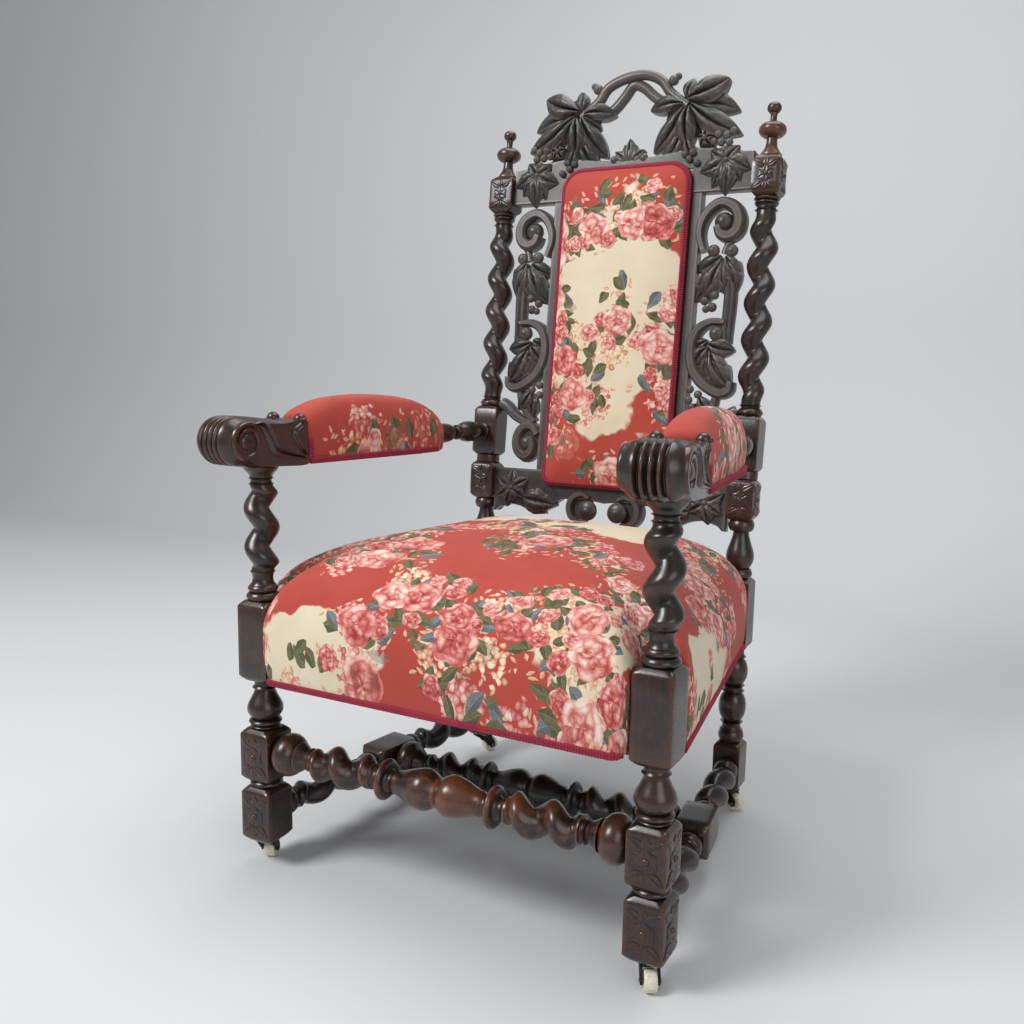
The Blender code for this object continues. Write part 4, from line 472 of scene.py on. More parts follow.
class Shape:
    """Points and faces of one piece, gathered from closed lofts. In-plane forms take place(p, q, h):
    two coordinates on the carved face and a height in front of it."""

    def __init__(self):
        self.points, self.faces, self.count = [], [], 0

    def grid(self, rows, caps=True, wrap=True):
        """Faces between neighbouring rows of points; wrap closes each row and caps close both ends."""
        rows = np.asarray(rows, float)
        high, wide = rows.shape[:2]
        index = self.count + np.arange(high * wide).reshape(high, wide)
        ends = [index[0].tolist(), index[-1].tolist()]
        if wrap:
            index = np.hstack([index, index[:, :1]])
        corners = (index[:-1, :-1], index[:-1, 1:], index[1:, 1:], index[1:, :-1])
        self.faces += np.stack(corners, -1).reshape(-1, 4).tolist()
        if caps:
            self.faces += ends
        self.points.append(rows.reshape(-1, 3))
        self.count += high * wide
        return self

    def flipped(self):
        """Copy mirrored across the chair's middle."""
        other = Shape()
        other.points = [points * (-1, 1, 1) for points in self.points]
        other.faces, other.count = [list(face) for face in self.faces], self.count
        return other

    def add(self, other):
        self.faces += [[i + self.count for i in face] for face in other.faces]
        self.points += other.points
        self.count += other.count
        return self

    def lobe(self, place, root, tip, width, rise, base=0.0, floor=-0.003, bend=0.0, droop=0.0, teeth=0,
             veins=0, late=0.78):
        """Pointed leaf lobe: two soft halves either side of a cut midrib, side veins and a toothed edge.
        The greater late is, the nearer to the tip the lobe is widest."""
        root, tip = np.array(root, float), np.array(tip, float)
        run = tip - root
        length = np.linalg.norm(run)
        side = np.array((-run[1], run[0])) / length
        across = np.linspace(-1, 1, 15 if veins else 9)
        rows = []
        for u in np.linspace(0.0, 0.985, 34 if veins else 14):
            half = width / 2 * (0.24 * (1 - u) + math.sin(math.pi * u ** late) ** 0.85)
            if teeth:
                half *= 0.86 + 0.20 * (1 - (u * teeth) % 1.0)
            spine = root + run * u + side * bend * length * math.sin(math.pi * u) * 0.5
            top = base + rise * (0.50 + 0.50 * math.sin(math.pi * u ** 0.7)) - droop * u * u
            ring = []
            for c in across:
                p, q = spine + side * half * c
                fold = 0.55 + 0.45 * math.sin(math.pi * abs(c) ** 0.80)
                if veins:
                    fold -= 0.04 * (0.5 + 0.5 * math.cos(2 * math.pi * (veins * u - 1.4 * abs(c))))
                ring.append(place(p, q, base + (top - base) * fold if top > base else top))
            for c in (1, -1):
                p, q = spine + side * half * c * 0.96
                ring.append(place(p, q, min(floor, top - 0.003)))
            rows.append(ring)
        return self.grid(rows)

    def ball(self, place, centre, radius, height=0.0, flat=1.0, sides=16):
        """Ball, or a button where flat is below 1, with its middle at a height."""
        rows = []
        pole = math.pi / 2 - 0.14
        for lift in np.linspace(-pole, pole, 10):
            level, reach = height + flat * radius * math.sin(lift), radius * math.cos(lift)
            rows.append([place(p, q, level) for p, q in oval(centre, reach, reach, sides)])
        return self.grid(rows)

    def tube(self, place, points, radius, tip_radius, sides=12, steps=28):
        """Round stem through (p, q, h) points."""
        path = curve(points, steps)
        rows = []
        for (p, q, h), (a, b), r in zip(path, sideways(path), np.linspace(radius, tip_radius, steps)):
            rows.append([place(p + a * r * math.cos(t), q + b * r * math.cos(t), h + r * math.sin(t))
                         for t in around(sides)])
        return self.grid(rows)

    def band(self, place, points, widths, height, floor, steps=40, ridge=0.0):
        """Scrolling strap with a rounded face; widths and points are spread evenly along it."""
        path = curve(points, steps)
        spread = np.interp(np.linspace(0, 1, steps), np.linspace(0, 1, len(widths)), widths) / 2
        section = [(-1, 0), (-1, 0.55), (-0.82, 0.84), (-0.45, 1.0), (0, 1.0 - ridge), (0.45, 1.0),
                   (0.82, 0.84), (1, 0.55), (1, 0)]
        deep = height - floor
        return self.grid([[place(p + a * w * c, q + b * w * c, floor + deep * h) for c, h in section]
                          for (p, q), (a, b), w in zip(path[:, :2], sideways(path), spread)])

    def board(self, place, outline, low, high, edge=0.0012):
        """Flat board with eased edges; a ring inside each edge keeps the wear off its flats."""
        outline = np.asarray(outline, float)
        run = unit(np.roll(outline, -1, 0) - np.roll(outline, 1, 0))
        area = np.cross(outline, np.roll(outline, -1, 0)).sum()
        inward = np.stack([-run[:, 1], run[:, 0]], -1) * math.copysign(edge, area)
        levels = ((low, 4), (low, 1), (low + edge, 0), (high - edge, 0), (high, 1), (high, 4))
        return self.grid([[place(p, q, h) for p, q in outline + inward * inset] for h, inset in levels])


def closed_mesh(name, shape, merge=False):
    """Mesh of a shape with its normals turned out; merge joins points that coincide."""
    mesh = bpy.data.meshes.new(name)
    mesh.from_pydata(np.vstack(shape.points), [], shape.faces)
    solid = bmesh.new()
    solid.from_mesh(mesh)
    if merge:
        bmesh.ops.remove_doubles(solid, verts=solid.verts, dist=1e-6)
    bmesh.ops.recalc_face_normals(solid, faces=solid.faces)
    solid.to_mesh(mesh)
    solid.free()
    return mesh


def put(name, data):
    """New object in the scene."""
    item = bpy.data.objects.new(name, data)
    bpy.context.scene.collection.objects.link(item)
    return item


def settle(item, finish, replaced=(), body="frame"):
    """Give a shown object its finish and its body, and hide the solids that it stands for."""
    item.data.materials.clear()
    item.data.materials.append(finish)
    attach(item, body)
    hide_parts(*replaced)
    return item


def piece(name, shape, finish, replaced=(), body="frame"):
    """Shown object from a shape, smooth across gentle edges."""
    mesh = closed_mesh(name, shape)
    mesh.shade_smooth()
    mesh.set_sharp_from_angle(angle=SHARP_EDGE)
    return settle(put(name, mesh), finish, replaced, body)


# Places

def row(x, y, z):
    """From the front legs' own row, where y is 0, to the frame."""
    return x, y + FRONT_Y, z


def on_back(p, q, h):
    """Across, up the slope from the floor, and in front of the back's own plane."""
    up, lean, rise = q - KNEE_Z, math.sin(RAKE), math.cos(RAKE)
    return row(p, DEPTH + up * lean - h * rise, KNEE_Z + up * rise + h * lean)


def on_arm(side):
    """Place in an arm's own frame: across, back from the leg's axis, height."""
    turn = Matrix.Rotation(side * ARM_ANGLE, 3, "Z")

    def place(across, back, z):
        spot = turn @ Vector((across, back, 0))
        return row(side * FRONT_HALF + spot.x, spot.y, z)
    return place


def inner_side_x(y, inset):
    """How far from the middle the line between leg and post runs, less an inset square to it."""
    return FRONT_HALF - y * math.tan(SIDE_ANGLE) - inset / math.cos(SIDE_ANGLE)


# Turned and twisted members

FORMS = {                       # share along the form, share of its radius
    "bead": [(0, 0.80), (0.12, 0.90), (0.5, 1.0), (0.88, 0.90), (1, 0.80)],
    "fillet": [(0, 0.97), (0.08, 1.0), (0.92, 1.0), (1, 0.97)],
    "ball": [(0, 0.52), (0.06, 0.66), (0.18, 0.85), (0.34, 0.97), (0.5, 1.0), (0.66, 0.97), (0.82, 0.85),
             (0.94, 0.66), (1, 0.52)],
    "neck": [(0, 1.25), (0.2, 1.06), (0.5, 1.0), (0.8, 1.06), (1, 1.25)],
    "vase": [(0, 0.66), (0.06, 0.80), (0.24, 1.0), (0.44, 0.97), (0.66, 0.77), (0.86, 0.60), (1, 0.55)],
    "vase_down": [(0, 0.58), (0.15, 0.64), (0.40, 0.86), (0.70, 1.0), (0.92, 0.76), (1, 0.62)],
    "flare": [(0, 0.60), (0.3, 0.66), (0.7, 0.88), (1.0, 1.0)],
    "cone": [(0, 1.0), (0.3, 0.84), (0.7, 0.64), (1, 0.56)],
    "cove": [(0, 1.0), (0.18, 0.80), (0.5, 0.55), (1, 0.46)],
}
# Where twists start and stop, as shares of the length that they stand in
LEG_TWIST_START, LEG_TWIST_REST = 0.2176, 0.13
POST_TWIST_START, POST_TWIST_REST = 0.05, 0.06
SIDE_TWIST_START = 0.16
STRETCHER_TWIST_SPAN = (0.24, 0.62)
ARM_SUPPORT_SLIM = 0.93         # the arm supports' twist beside the solid's


def block_ends(middle, length):
    return middle - length / 2, middle + length / 2


class Turned:
    """Rings along a member that is partly square, partly turned and partly twisted."""

    def __init__(self, sides=TURNED_SIDES):
        self.turn = around(sides) + math.pi / 4
        self.rows = []

    def ring(self, at, radius):
        radius = np.broadcast_to(radius, self.turn.shape)
        self.rows.append(np.stack([radius * np.cos(self.turn), radius * np.sin(self.turn),
                                   np.full(self.turn.shape, at)], -1))

    def square(self, at, half, sharp=26):
        """Square ring; the lower sharp is, the rounder its corners."""
        reach = (abs(np.cos(self.turn)) ** sharp + abs(np.sin(self.turn)) ** sharp) ** (-1 / sharp)
        self.ring(at, half * reach)

    def block(self, low, high, half, slope=BLOCK_SLOPE, ends=(True, True)):
        """Square block; ends tells which of its ends slope in to the turning."""
        if ends[0]:
            self.square(low, half - slope * 0.75, 8)
            self.square(low + slope * 0.55, half - slope * 0.22, 14)
        self.square(low + slope, half)
        for share in (0.25, 0.5, 0.75):
            self.square(low + slope + share * (high - low - 2 * slope), half)
        self.square(high - slope, half)
        if ends[1]:
            self.square(high - slope * 0.55, half - slope * 0.22, 14)
            self.square(high, half - slope * 0.75, 8)

    def span(self, low, high, pattern):
        """Fill low to high with (form, share, radius) turnings, stretched to fit."""
        scale = (high - low) / sum(share for _, share, _ in pattern)
        at = low
        for form, share, radius in pattern:
            length = share * scale
            for part, size in curve(FORMS[form], 5 if form in ("neck", "fillet") else 15):
                self.ring(at + part * length, size * radius)
            at += length

    def twist(self, low, high, radius, turns, hand, fade=8):
        """Single strand wound round the axis; hand 1 climbs to the right as seen from outside."""
        steps = round(turns * 32)
        for step in range(steps + 1):
            share = step / steps
            swell = min(1.0, fade * share, fade * (1 - share))
            swell = swell * swell * (3 - 2 * swell)
            off = self.turn - hand * (2 * math.pi * turns * share - math.pi / 2)
            hollow = 0.75 - abs(np.cos(off / 2)) / 2 - np.cos(off) / 4
            strand = radius * (1 - TWIST_HOLLOW * hollow)
            self.ring(low + share * (high - low), strand * swell + radius * 0.64 * (1 - swell))

    def shape(self, place):
        return Shape().grid([[place(*point) for point in ring] for ring in self.rows])


def upright(side, x, y, s, axis):
    """Place about an upright member's axis, given as half the chair's width there and its depth."""
    half, depth = axis
    return row(side * half + x, depth + y, s)


def raked_post(side, x, y, s, axis):
    """The same for a back post, which leans back above its knee."""
    if s <= KNEE_Z:
        return upright(side, x, y, s, axis)
    half, depth = axis
    up = s - KNEE_Z
    return row(side * half + x, depth + y * math.cos(RAKE) + up * math.sin(RAKE),
               KNEE_Z + up * math.cos(RAKE) - y * math.sin(RAKE))


def block_flower(shape, place, middle, tall, wide):
    """Shallow carving on a block's face: round flower, with a spray of leaves above and below."""
    for i in range(6):
        bearing = 2 * math.pi * (i + 0.5) / 6
        tip = (middle[0] + wide * 0.42 * math.cos(bearing), middle[1] + wide * 0.42 * math.sin(bearing))
        shape.lobe(place, middle, tip, wide * 0.36, 0.0016, 0.0002, -0.002)
    shape.ball(place, middle, wide * 0.13, 0.0006, 0.9, sides=12)
    for up in (-1, 1):
        for lean in (-0.62, 0, 0.62):
            root = (middle[0] + lean * wide * 0.16, middle[1] + up * tall * 0.23)
            tip = (middle[0] + lean * wide * 0.95, middle[1] + up * tall * (0.48 - 0.09 * abs(lean)))
            shape.lobe(place, root, tip, wide * 0.26, 0.0015, 0.0002, -0.002)


def carve_blocks(shape, side, blocks, half, axis, member, fill):
    """Flowers on the front and the outer side of a member's blocks."""
    def on_front(p, q, h):
        return member(side, p, -half - h, q, axis)

    def on_side(p, q, h):
        return member(side, side * (half + h), p, q, axis)
    for low, high in blocks:
        for place in (on_front, on_side):
            block_flower(shape, place, (0.0, (low + high) / 2), (high - low) * fill, half * 1.5)


def make_front_leg(name, side):
    """Square blocks, a vase, and a twist that carries the arm."""
    axis = (FRONT_HALF, 0.0)
    leg = Turned()
    lower = (CASTOR_HEIGHT, SIDE_STRETCHER_Z + LOWER_BLOCK / 2)
    middle = block_ends(MID_BLOCK_Z, MID_BLOCK)
    seat = block_ends(SEAT_BLOCK_Z, SEAT_BLOCK)
    run = ARM_UNDERSIDE - seat[1]
    twist = (seat[1] + LEG_TWIST_START * run, ARM_UNDERSIDE - LEG_TWIST_REST * run)
    leg.block(*lower, LEG_HALF)
    leg.span(lower[1], middle[0], [("bead", 1, BEAD)])
    leg.block(*middle, LEG_HALF)
    leg.span(middle[1], seat[0], [("bead", 6, BEAD * 0.90), ("bead", 8, BEAD), ("vase", 46, BALL),
                                  ("neck", 12, NECK)])
    leg.block(*seat, LEG_HALF)
    leg.span(seat[1], twist[0], [("bead", 10, BEAD), ("bead", 9, BEAD * 0.90), ("neck", 16, NECK)])
    leg.twist(*twist, LEG_TWIST * ARM_SUPPORT_SLIM, LEG_TURNS, side)
    leg.span(twist[1], ARM_UNDERSIDE - FIT, [("neck", 8, NECK), ("flare", 16, BALL)])
    shape = leg.shape(lambda x, y, s: upright(side, x, y, s, axis))
    carve_blocks(shape, side, (lower, middle), LEG_HALF, axis, upright, 0.82)
    piece(name + "_turned", shape, TURNED_OAK, [name])


def make_back_post(name, side):
    """Turned below the seat, blocks where rails and arm enter, a long raked twist above."""
    axis = (BACK_HALF, DEPTH)
    post = Turned()
    lower = SIDE_STRETCHER_Z + LOWER_BLOCK / 2
    seat = block_ends(SEAT_BLOCK_Z, SEAT_BLOCK)
    knee = block_ends(KNEE_Z, KNEE_BLOCK)
    top = (TOP_BLOCK_LOW, TOP_BLOCK_HIGH)
    run = TOP_BLOCK_LOW - ARM_BLOCK_HIGH
    twist = (ARM_BLOCK_HIGH + POST_TWIST_START * run, TOP_BLOCK_LOW - POST_TWIST_REST * run)
    post.block(CASTOR_HEIGHT, lower, POST_HALF)
    post.span(lower, seat[0], [("bead", 18, POST_BEAD), ("neck", 12, POST_NECK), ("ball", 48, POST_BALL),
                               ("neck", 8, POST_NECK), ("ball", 44, POST_BALL), ("neck", 14, POST_NECK)])
    post.block(*seat, POST_HALF)
    post.span(seat[1], knee[0], [("bead", 12, POST_BEAD), ("vase", 46, POST_BALL), ("bead", 14, POST_BEAD)])
    post.block(knee[0], KNEE_Z, POST_HALF, ends=(True, False))
    post.block(KNEE_Z, knee[1], POST_HALF, ends=(False, True))
    post.span(knee[1], ARM_BLOCK_LOW, [("fillet", 1, POST_BEAD)])
    post.block(ARM_BLOCK_LOW, ARM_BLOCK_HIGH, POST_HALF)
    post.span(ARM_BLOCK_HIGH, twist[0], [("bead", 10, POST_BEAD), ("neck", 6, POST_NECK)])
    post.twist(*twist, POST_TWIST, POST_TURNS, side)
    post.span(twist[1], TOP_BLOCK_LOW, [("neck", 8, POST_NECK), ("bead", 6, POST_BEAD * 0.92),
                                        ("bead", 6, POST_BEAD)])
    post.block(*top, POST_HALF)
    shape = post.shape(lambda x, y, s: raked_post(side, x, y, s, axis))
    carve_blocks(shape, side, (top, knee), POST_HALF, axis, raked_post, 0.84)
    piece(name + "_turned", shape, TURNED_OAK, [name])


def make_finial(name, side):
    """Turned finial: cove, flattened bulb, thin neck and a small ball."""
    finial = Turned(48)
    base = TOP_BLOCK_HIGH + FIT
    finial.span(base, base + FINIAL_LENGTH,
                [("fillet", 3, POST_BALL * 0.80), ("cove", 31, POST_BALL * 0.78),
                 ("ball", 27, POST_BALL * 0.98), ("neck", 17, POST_NECK * 0.34),
                 ("ball", 19, POST_NECK * 0.76)])
    finial.ring(base + FINIAL_LENGTH, 0.0012)
    shape = finial.shape(lambda x, y, s: raked_post(side, x, y, s, (BACK_HALF, DEPTH)))
    piece(name + "_turned", shape, WORN_OAK, [name])


def twisted_half(far, hand):
    """Rings of a stretcher's half: ball, twist, disc and half of the double vase in its middle."""
    member = Turned()
    marks = [share * far for share in STRETCHER_TWIST_SPAN]
    member.span(0, marks[0], [("ball", 38, STRETCHER_BALL * 1.14), ("cone", 18, STRETCHER_BALL * 0.80),
                              ("neck", 7, STRETCHER_NECK)])
    member.twist(*marks, STRETCHER_TWIST, STRETCHER_TURNS, hand)
    member.span(marks[1], far, [("neck", 12, STRETCHER_NECK), ("bead", 9, STRETCHER_RING),
                                ("neck", 11, STRETCHER_NECK), ("vase_down", 56, STRETCHER_RING)])
    return member.rows


def make_crosspiece(name, length, y, z, finish):
    """Stretcher across the chair: two twisted halves that mirror each other."""
    member = Turned()
    member.ring(0, DOWEL)
    member.rows += twisted_half(length / 2, 1)
    member.rows += [ring * (1, 1, -1) + (0, 0, length) for ring in reversed(twisted_half(length / 2, -1))]
    member.ring(length, DOWEL)
    shape = member.shape(lambda px, py, s: row(s - length / 2, y + py, z - px))
    piece(name + "_turned", shape, finish, [name])


def make_side_stretcher(name, side):
    """Twist, flat-topped block, twist, between a leg and a post."""
    member = Turned()
    set_back = DOWEL * math.tan(SIDE_ANGLE)
    start = (LEG_HALF + FIT) / math.cos(SIDE_ANGLE) + set_back
    end = SIDE_RUN - (POST_HALF + FIT) / math.cos(SIDE_ANGLE) - set_back
    block = block_ends(SIDE_RUN / 2, MIDDLE_BLOCK_LENGTH)
    member.ring(start, DOWEL)
    for low, high, is_front in ((start, block[0], True), (block[1], end, False)):
        rest = SIDE_TWIST_START * (high - low)
        twist = (low + rest, high - rest)
        member.span(low, twist[0], [("bead", 18, SIDE_BEAD), ("neck", 9, STRETCHER_NECK)])
        member.twist(*twist, SIDE_TWIST, SIDE_TURNS, side)
        member.span(twist[1], high, [("neck", 9, STRETCHER_NECK), ("bead", 18, SIDE_BEAD)])
        if is_front:
            member.block(*block, MIDDLE_BLOCK_HALF)
    member.ring(end, DOWEL)
    along = Vector((-side * math.sin(SIDE_ANGLE), math.cos(SIDE_ANGLE), 0))
    across = Vector((0, 0, 1)).cross(along)

    def place(x, y, s):
        spot = Vector((side * FRONT_HALF, 0, SIDE_STRETCHER_Z)) + along * s + across * x
        return row(spot.x, spot.y, spot.z + y)
    piece(name + "_turned", member.shape(place), TURNED_OAK, [name])


# Carved back, drawn on the back's own plane

CREST_LOBES = [                 # right great leaf: root, tip, width, height in front of the board, teeth
    ((0.093, 1.150), (0.100, 1.186), 0.020, 0.010, 0),
    ((0.097, 1.148), (0.162, 1.176), 0.040, 0.020, 0),
    ((0.101, 1.143), (0.182, 1.124), 0.032, 0.014, 0),
    ((0.102, 1.139), (0.188, 1.086), 0.034, 0.017, 0),
    ((0.101, 1.136), (0.150, 1.083), 0.027, 0.014, 0),
    ((0.099, 1.136), (0.101, 1.070), 0.032, 0.020, 0),
    ((0.093, 1.139), (0.040, 1.068), 0.034, 0.018, 0),
    ((0.087, 1.143), (0.030, 1.138), 0.026, 0.012, 0),
    ((0.090, 1.100), (0.056, 1.048), 0.030, 0.013, 2),
    ((0.098, 1.086), (0.116, 1.046), 0.024, 0.010, 2),
    ((0.128, 1.094), (0.136, 1.062), 0.022, 0.012, 2),
]
GREAT_LEAF_LOBES = 8            # the first of them, which spread from one root
SMALL_LEAF_ROOT = (0.167, 1.045)
SMALL_LEAF_TIPS = [             # tip and width
    ((0.187, 1.068), 0.020), ((0.124, 1.029), 0.024), ((0.140, 1.064), 0.020), ((0.209, 1.027), 0.024),
    ((0.194, 1.010), 0.020), ((0.168, 0.990), 0.026), ((0.146, 1.002), 0.020)]
CREST_GRAPES = [                # centre and radius
    ((0.152, 1.087), 0.0068), ((0.166, 1.084), 0.0068), ((0.157, 1.074), 0.0066), ((0.170, 1.073), 0.0066),
    ((0.163, 1.062), 0.0064), ((0.145, 1.076), 0.0062), ((0.106, 1.052), 0.0060), ((0.119, 1.045), 0.0060),
    ((0.111, 1.062), 0.0058), ((0.098, 1.060), 0.0056), ((0.176, 1.090), 0.0060)]
CREST_TENDRIL = [(0.092, 1.142, 0.002), (0.110, 1.105, -0.004), (0.126, 1.080, 0.000), (0.150, 1.062, 0.004),
                 (0.167, 1.046, 0.010)]
CREST_STEMS = [                 # radius at its start and end, and its course
    (0.0088, 0.0080, [(-0.095, 1.140, 0.002), (-0.064, 1.162, 0.004), (-0.046, 1.184, 0.006),
                      (-0.012, 1.196, 0.007), (0.021, 1.197, 0.006), (0.047, 1.185, 0.004),
                      (0.064, 1.164, 0.003), (0.095, 1.140, 0.004)]),
    (0.0094, 0.0084, [(-0.092, 1.132, -0.004), (-0.044, 1.146, -0.004), (-0.021, 1.166, -0.003),
                      (-0.004, 1.184, 0.000), (0.014, 1.180, -0.001), (0.034, 1.163, -0.003),
                      (0.060, 1.147, -0.004), (0.092, 1.136, -0.004)])]
CARVING_FLOOR = -0.006            # how deep the carving goes behind the back's plane


def bloom(shape, place, centre, radius, height, floor):
    """Small open flower with a raised eye."""
    for i in range(5):
        bearing = 2 * math.pi * (i + 0.25) / 5
        tip = (centre[0] + radius * math.cos(bearing), centre[1] + radius * math.sin(bearing))
        shape.lobe(place, centre, tip, radius * 0.95, height, 0.002, floor)
    shape.ball(place, centre, radius * 0.30, height + 0.001)


def make_crest_rail():
    """Notched board with two great vine leaves, stems that cross, grapes and small leaves."""
    end, notch = BACK_HALF - POST_HALF - FIT, BACK_PAD_HALF + FIT
    half = Shape()
    face, floor = BOARD / 2, CARVING_FLOOR
    for i, (root, tip, width, rise, teeth) in enumerate(CREST_LOBES):
        half.lobe(on_back, root, tip, width * 0.96, rise, 0.002 + 0.0060 * (i % 2), floor,
                  bend=0.12 * (-1) ** i, droop=0.009, teeth=teeth, veins=5, late=1.18)
    great = CREST_LOBES[:GREAT_LEAF_LOBES]
    for (root, tip, *_), (_, other, *_) in zip(great, great[1:]):
        between = np.array(root) + 0.62 * ((np.array(tip) + np.array(other)) / 2 - np.array(root))
        half.lobe(on_back, root, between, 0.024, 0.010, 0.001, floor, droop=0.006, veins=4, late=1.0)
    for tip, width in SMALL_LEAF_TIPS:
        half.lobe(on_back, SMALL_LEAF_ROOT, tip, width * 1.15, 0.010, face - 0.001, face - 0.006, bend=0.08,
                  droop=0.004, teeth=2, veins=4)
    half.ball(on_back, SMALL_LEAF_ROOT, 0.005, face + 0.004)
    for centre, radius in CREST_GRAPES:
        half.ball(on_back, centre, radius, 0.013)
    bloom(half, on_back, (0.130, 1.083), 0.015, 0.016, floor)
    half.ball(on_back, (0.067, 1.184), 0.0085, 0.004)
    half.ball(on_back, (0.074, 1.190), 0.0060, 0.003)
    half.tube(on_back, CREST_TENDRIL, 0.0060, 0.0035)
    for lean in (0.35, 1.0):
        half.lobe(on_back, (0.003 * lean, 1.058), (0.026 * lean, 1.092 - 0.016 * lean), 0.017, 0.006, 0.006,
                  floor)
    half.ball(on_back, (0.026, 1.062), 0.0075, 0.008, 0.8)
    shape = half.flipped().add(half)
    shape.lobe(on_back, (0, 1.058), (0, 1.096), 0.016, 0.007, 0.006, floor)
    right = [(notch, CREST_UNDER), (notch, CREST_LOW), (end, CREST_LOW), (end, CREST_SHOULDER - 0.002),
             (end * 0.92, CREST_SHOULDER - 0.001), (end * 0.76, CREST_SHOULDER + 0.006),
             (notch * 0.95, CREST_RIDGE + 0.012), (notch * 0.5, CREST_RIDGE + 0.004)]
    shape.board(on_back, mirrored(right, [(0, CREST_RIDGE)]), -face, face)
    for radius, tip_radius, course in CREST_STEMS:
        shape.tube(on_back, course, radius, tip_radius, steps=56)
    piece("crest_rail_carved", shape, CARVED_OAK, ["crest_rail"])


LOWER_LEAF_ROOT = (0.176, 0.503)
LOWER_LEAF_TIPS = [             # tip and width
    ((0.175, 0.538), 0.022), ((0.207, 0.521), 0.020), ((0.143, 0.521), 0.020), ((0.206, 0.486), 0.020),
    ((0.147, 0.486), 0.020), ((0.184, 0.468), 0.020)]
LOWER_BUTTON = (0.0270, 0.4740)
LOWER_SCROLL = [(0.026, 0.4960), (0.040, 0.5005), (0.055, 0.4950), (0.0625, 0.4800), (0.0590, 0.4640),
                (0.0470, 0.4545), (0.0340, 0.4545)]
LOWER_SCROLL_WIDTHS = [0.008, 0.012, 0.015, 0.015, 0.013, 0.008]
LOWER_RAIL_FOOT = [             # underside of the board, from the post to the middle
    (0.198, 0.4680), (0.176, 0.4745), (0.158, 0.4720), (0.140, 0.4660), (0.118, 0.4665), (0.098, 0.4760),
    (0.080, 0.4900), (0.030, 0.4920)]


def make_lower_back_rail():
    """Board with leaves at its ends and a pair of scrolls round buttons in its middle."""
    end = BACK_HALF - POST_HALF - FIT
    half = Shape()
    face, floor = BOARD / 2, CARVING_FLOOR
    for tip, width in LOWER_LEAF_TIPS:
        half.lobe(on_back, LOWER_LEAF_ROOT, tip, width * 1.15, 0.009, face - 0.001, face - 0.006, droop=0.003,
                  teeth=2, veins=4)
    half.ball(on_back, LOWER_LEAF_ROOT, 0.005, face + 0.004)
    half.lobe(on_back, (0.150, 0.488), (0.088, 0.478), 0.036, 0.010, face - 0.002, floor, droop=0.004,
              teeth=3, veins=5)
    half.lobe(on_back, (0.148, 0.480), (0.108, 0.462), 0.022, 0.007, face - 0.004, floor, droop=0.004,
              teeth=2)
    half.band(on_back, LOWER_SCROLL, LOWER_SCROLL_WIDTHS, face + 0.004, -face)
    half.ball(on_back, LOWER_BUTTON, 0.0175, face + 0.001, 0.45, sides=28)
    half.ball(on_back, LOWER_BUTTON, 0.0060, face + 0.0085, 0.5)
    half.board(on_back, oval((0.042, 0.4775), 0.021, 0.021), -face + 0.003, face - 0.005)
    shape = half.flipped().add(half)
    right = [(end, LOWER_RAIL_HIGH), (end, 0.4600)] + LOWER_RAIL_FOOT
    shape.board(on_back, mirrored(right, [(0, 0.4880)]), -face, face - 0.001)
    piece("lower_back_rail_carved", shape, CARVED_OAK, ["lower_back_rail"])


SIDE_LOBES = [                  # root, tip, width, rise, teeth
    ((0.170, 0.896), (0.128, 0.874), 0.024, 0.010, 0),
    ((0.178, 0.896), (0.205, 0.862), 0.024, 0.010, 2),
    ((0.172, 0.888), (0.130, 0.824), 0.034, 0.014, 3),
    ((0.174, 0.886), (0.178, 0.836), 0.022, 0.011, 2),
    ((0.152, 0.864), (0.133, 0.846), 0.016, 0.008, 0),
    ((0.171, 0.887), (0.152, 0.822), 0.026, 0.012, 2),
    ((0.177, 0.890), (0.197, 0.836), 0.026, 0.011, 2),
    ((0.160, 0.757), (0.204, 0.747), 0.024, 0.012, 0),
    ((0.157, 0.763), (0.132, 0.753), 0.016, 0.009, 0),
    ((0.159, 0.752), (0.136, 0.720), 0.022, 0.011, 0),
    ((0.160, 0.748), (0.152, 0.692), 0.026, 0.012, 2),
    ((0.166, 0.742), (0.201, 0.688), 0.032, 0.014, 2),
    ((0.161, 0.738), (0.180, 0.676), 0.030, 0.012, 2),
    ((0.152, 0.672), (0.178, 0.640), 0.022, 0.010, 2),
    ((0.146, 0.662), (0.150, 0.626), 0.022, 0.010, 2),
]
SIDE_GRAPES = [                 # centre and radius
    ((0.165, 0.834), 0.0070), ((0.149, 0.825), 0.0070), ((0.162, 0.815), 0.0078), ((0.152, 0.812), 0.0060),
    ((0.136, 0.684), 0.0068), ((0.135, 0.667), 0.0068), ((0.150, 0.676), 0.0068), ((0.141, 0.656), 0.0060)]
SIDE_BALLS = [                  # centre, radius, height, flatness, sides
    ((0.169, 0.951), 0.0155, 0.002, 0.9, 24), ((0.157, 0.905), 0.0100, 0.007, 0.9, 16),
    ((0.187, 0.904), 0.0100, 0.007, 0.9, 16), ((0.172, 0.774), 0.0125, 0.005, 0.9, 16),
    ((0.156, 0.5835), 0.0120, 0.003, 0.8, 16)]
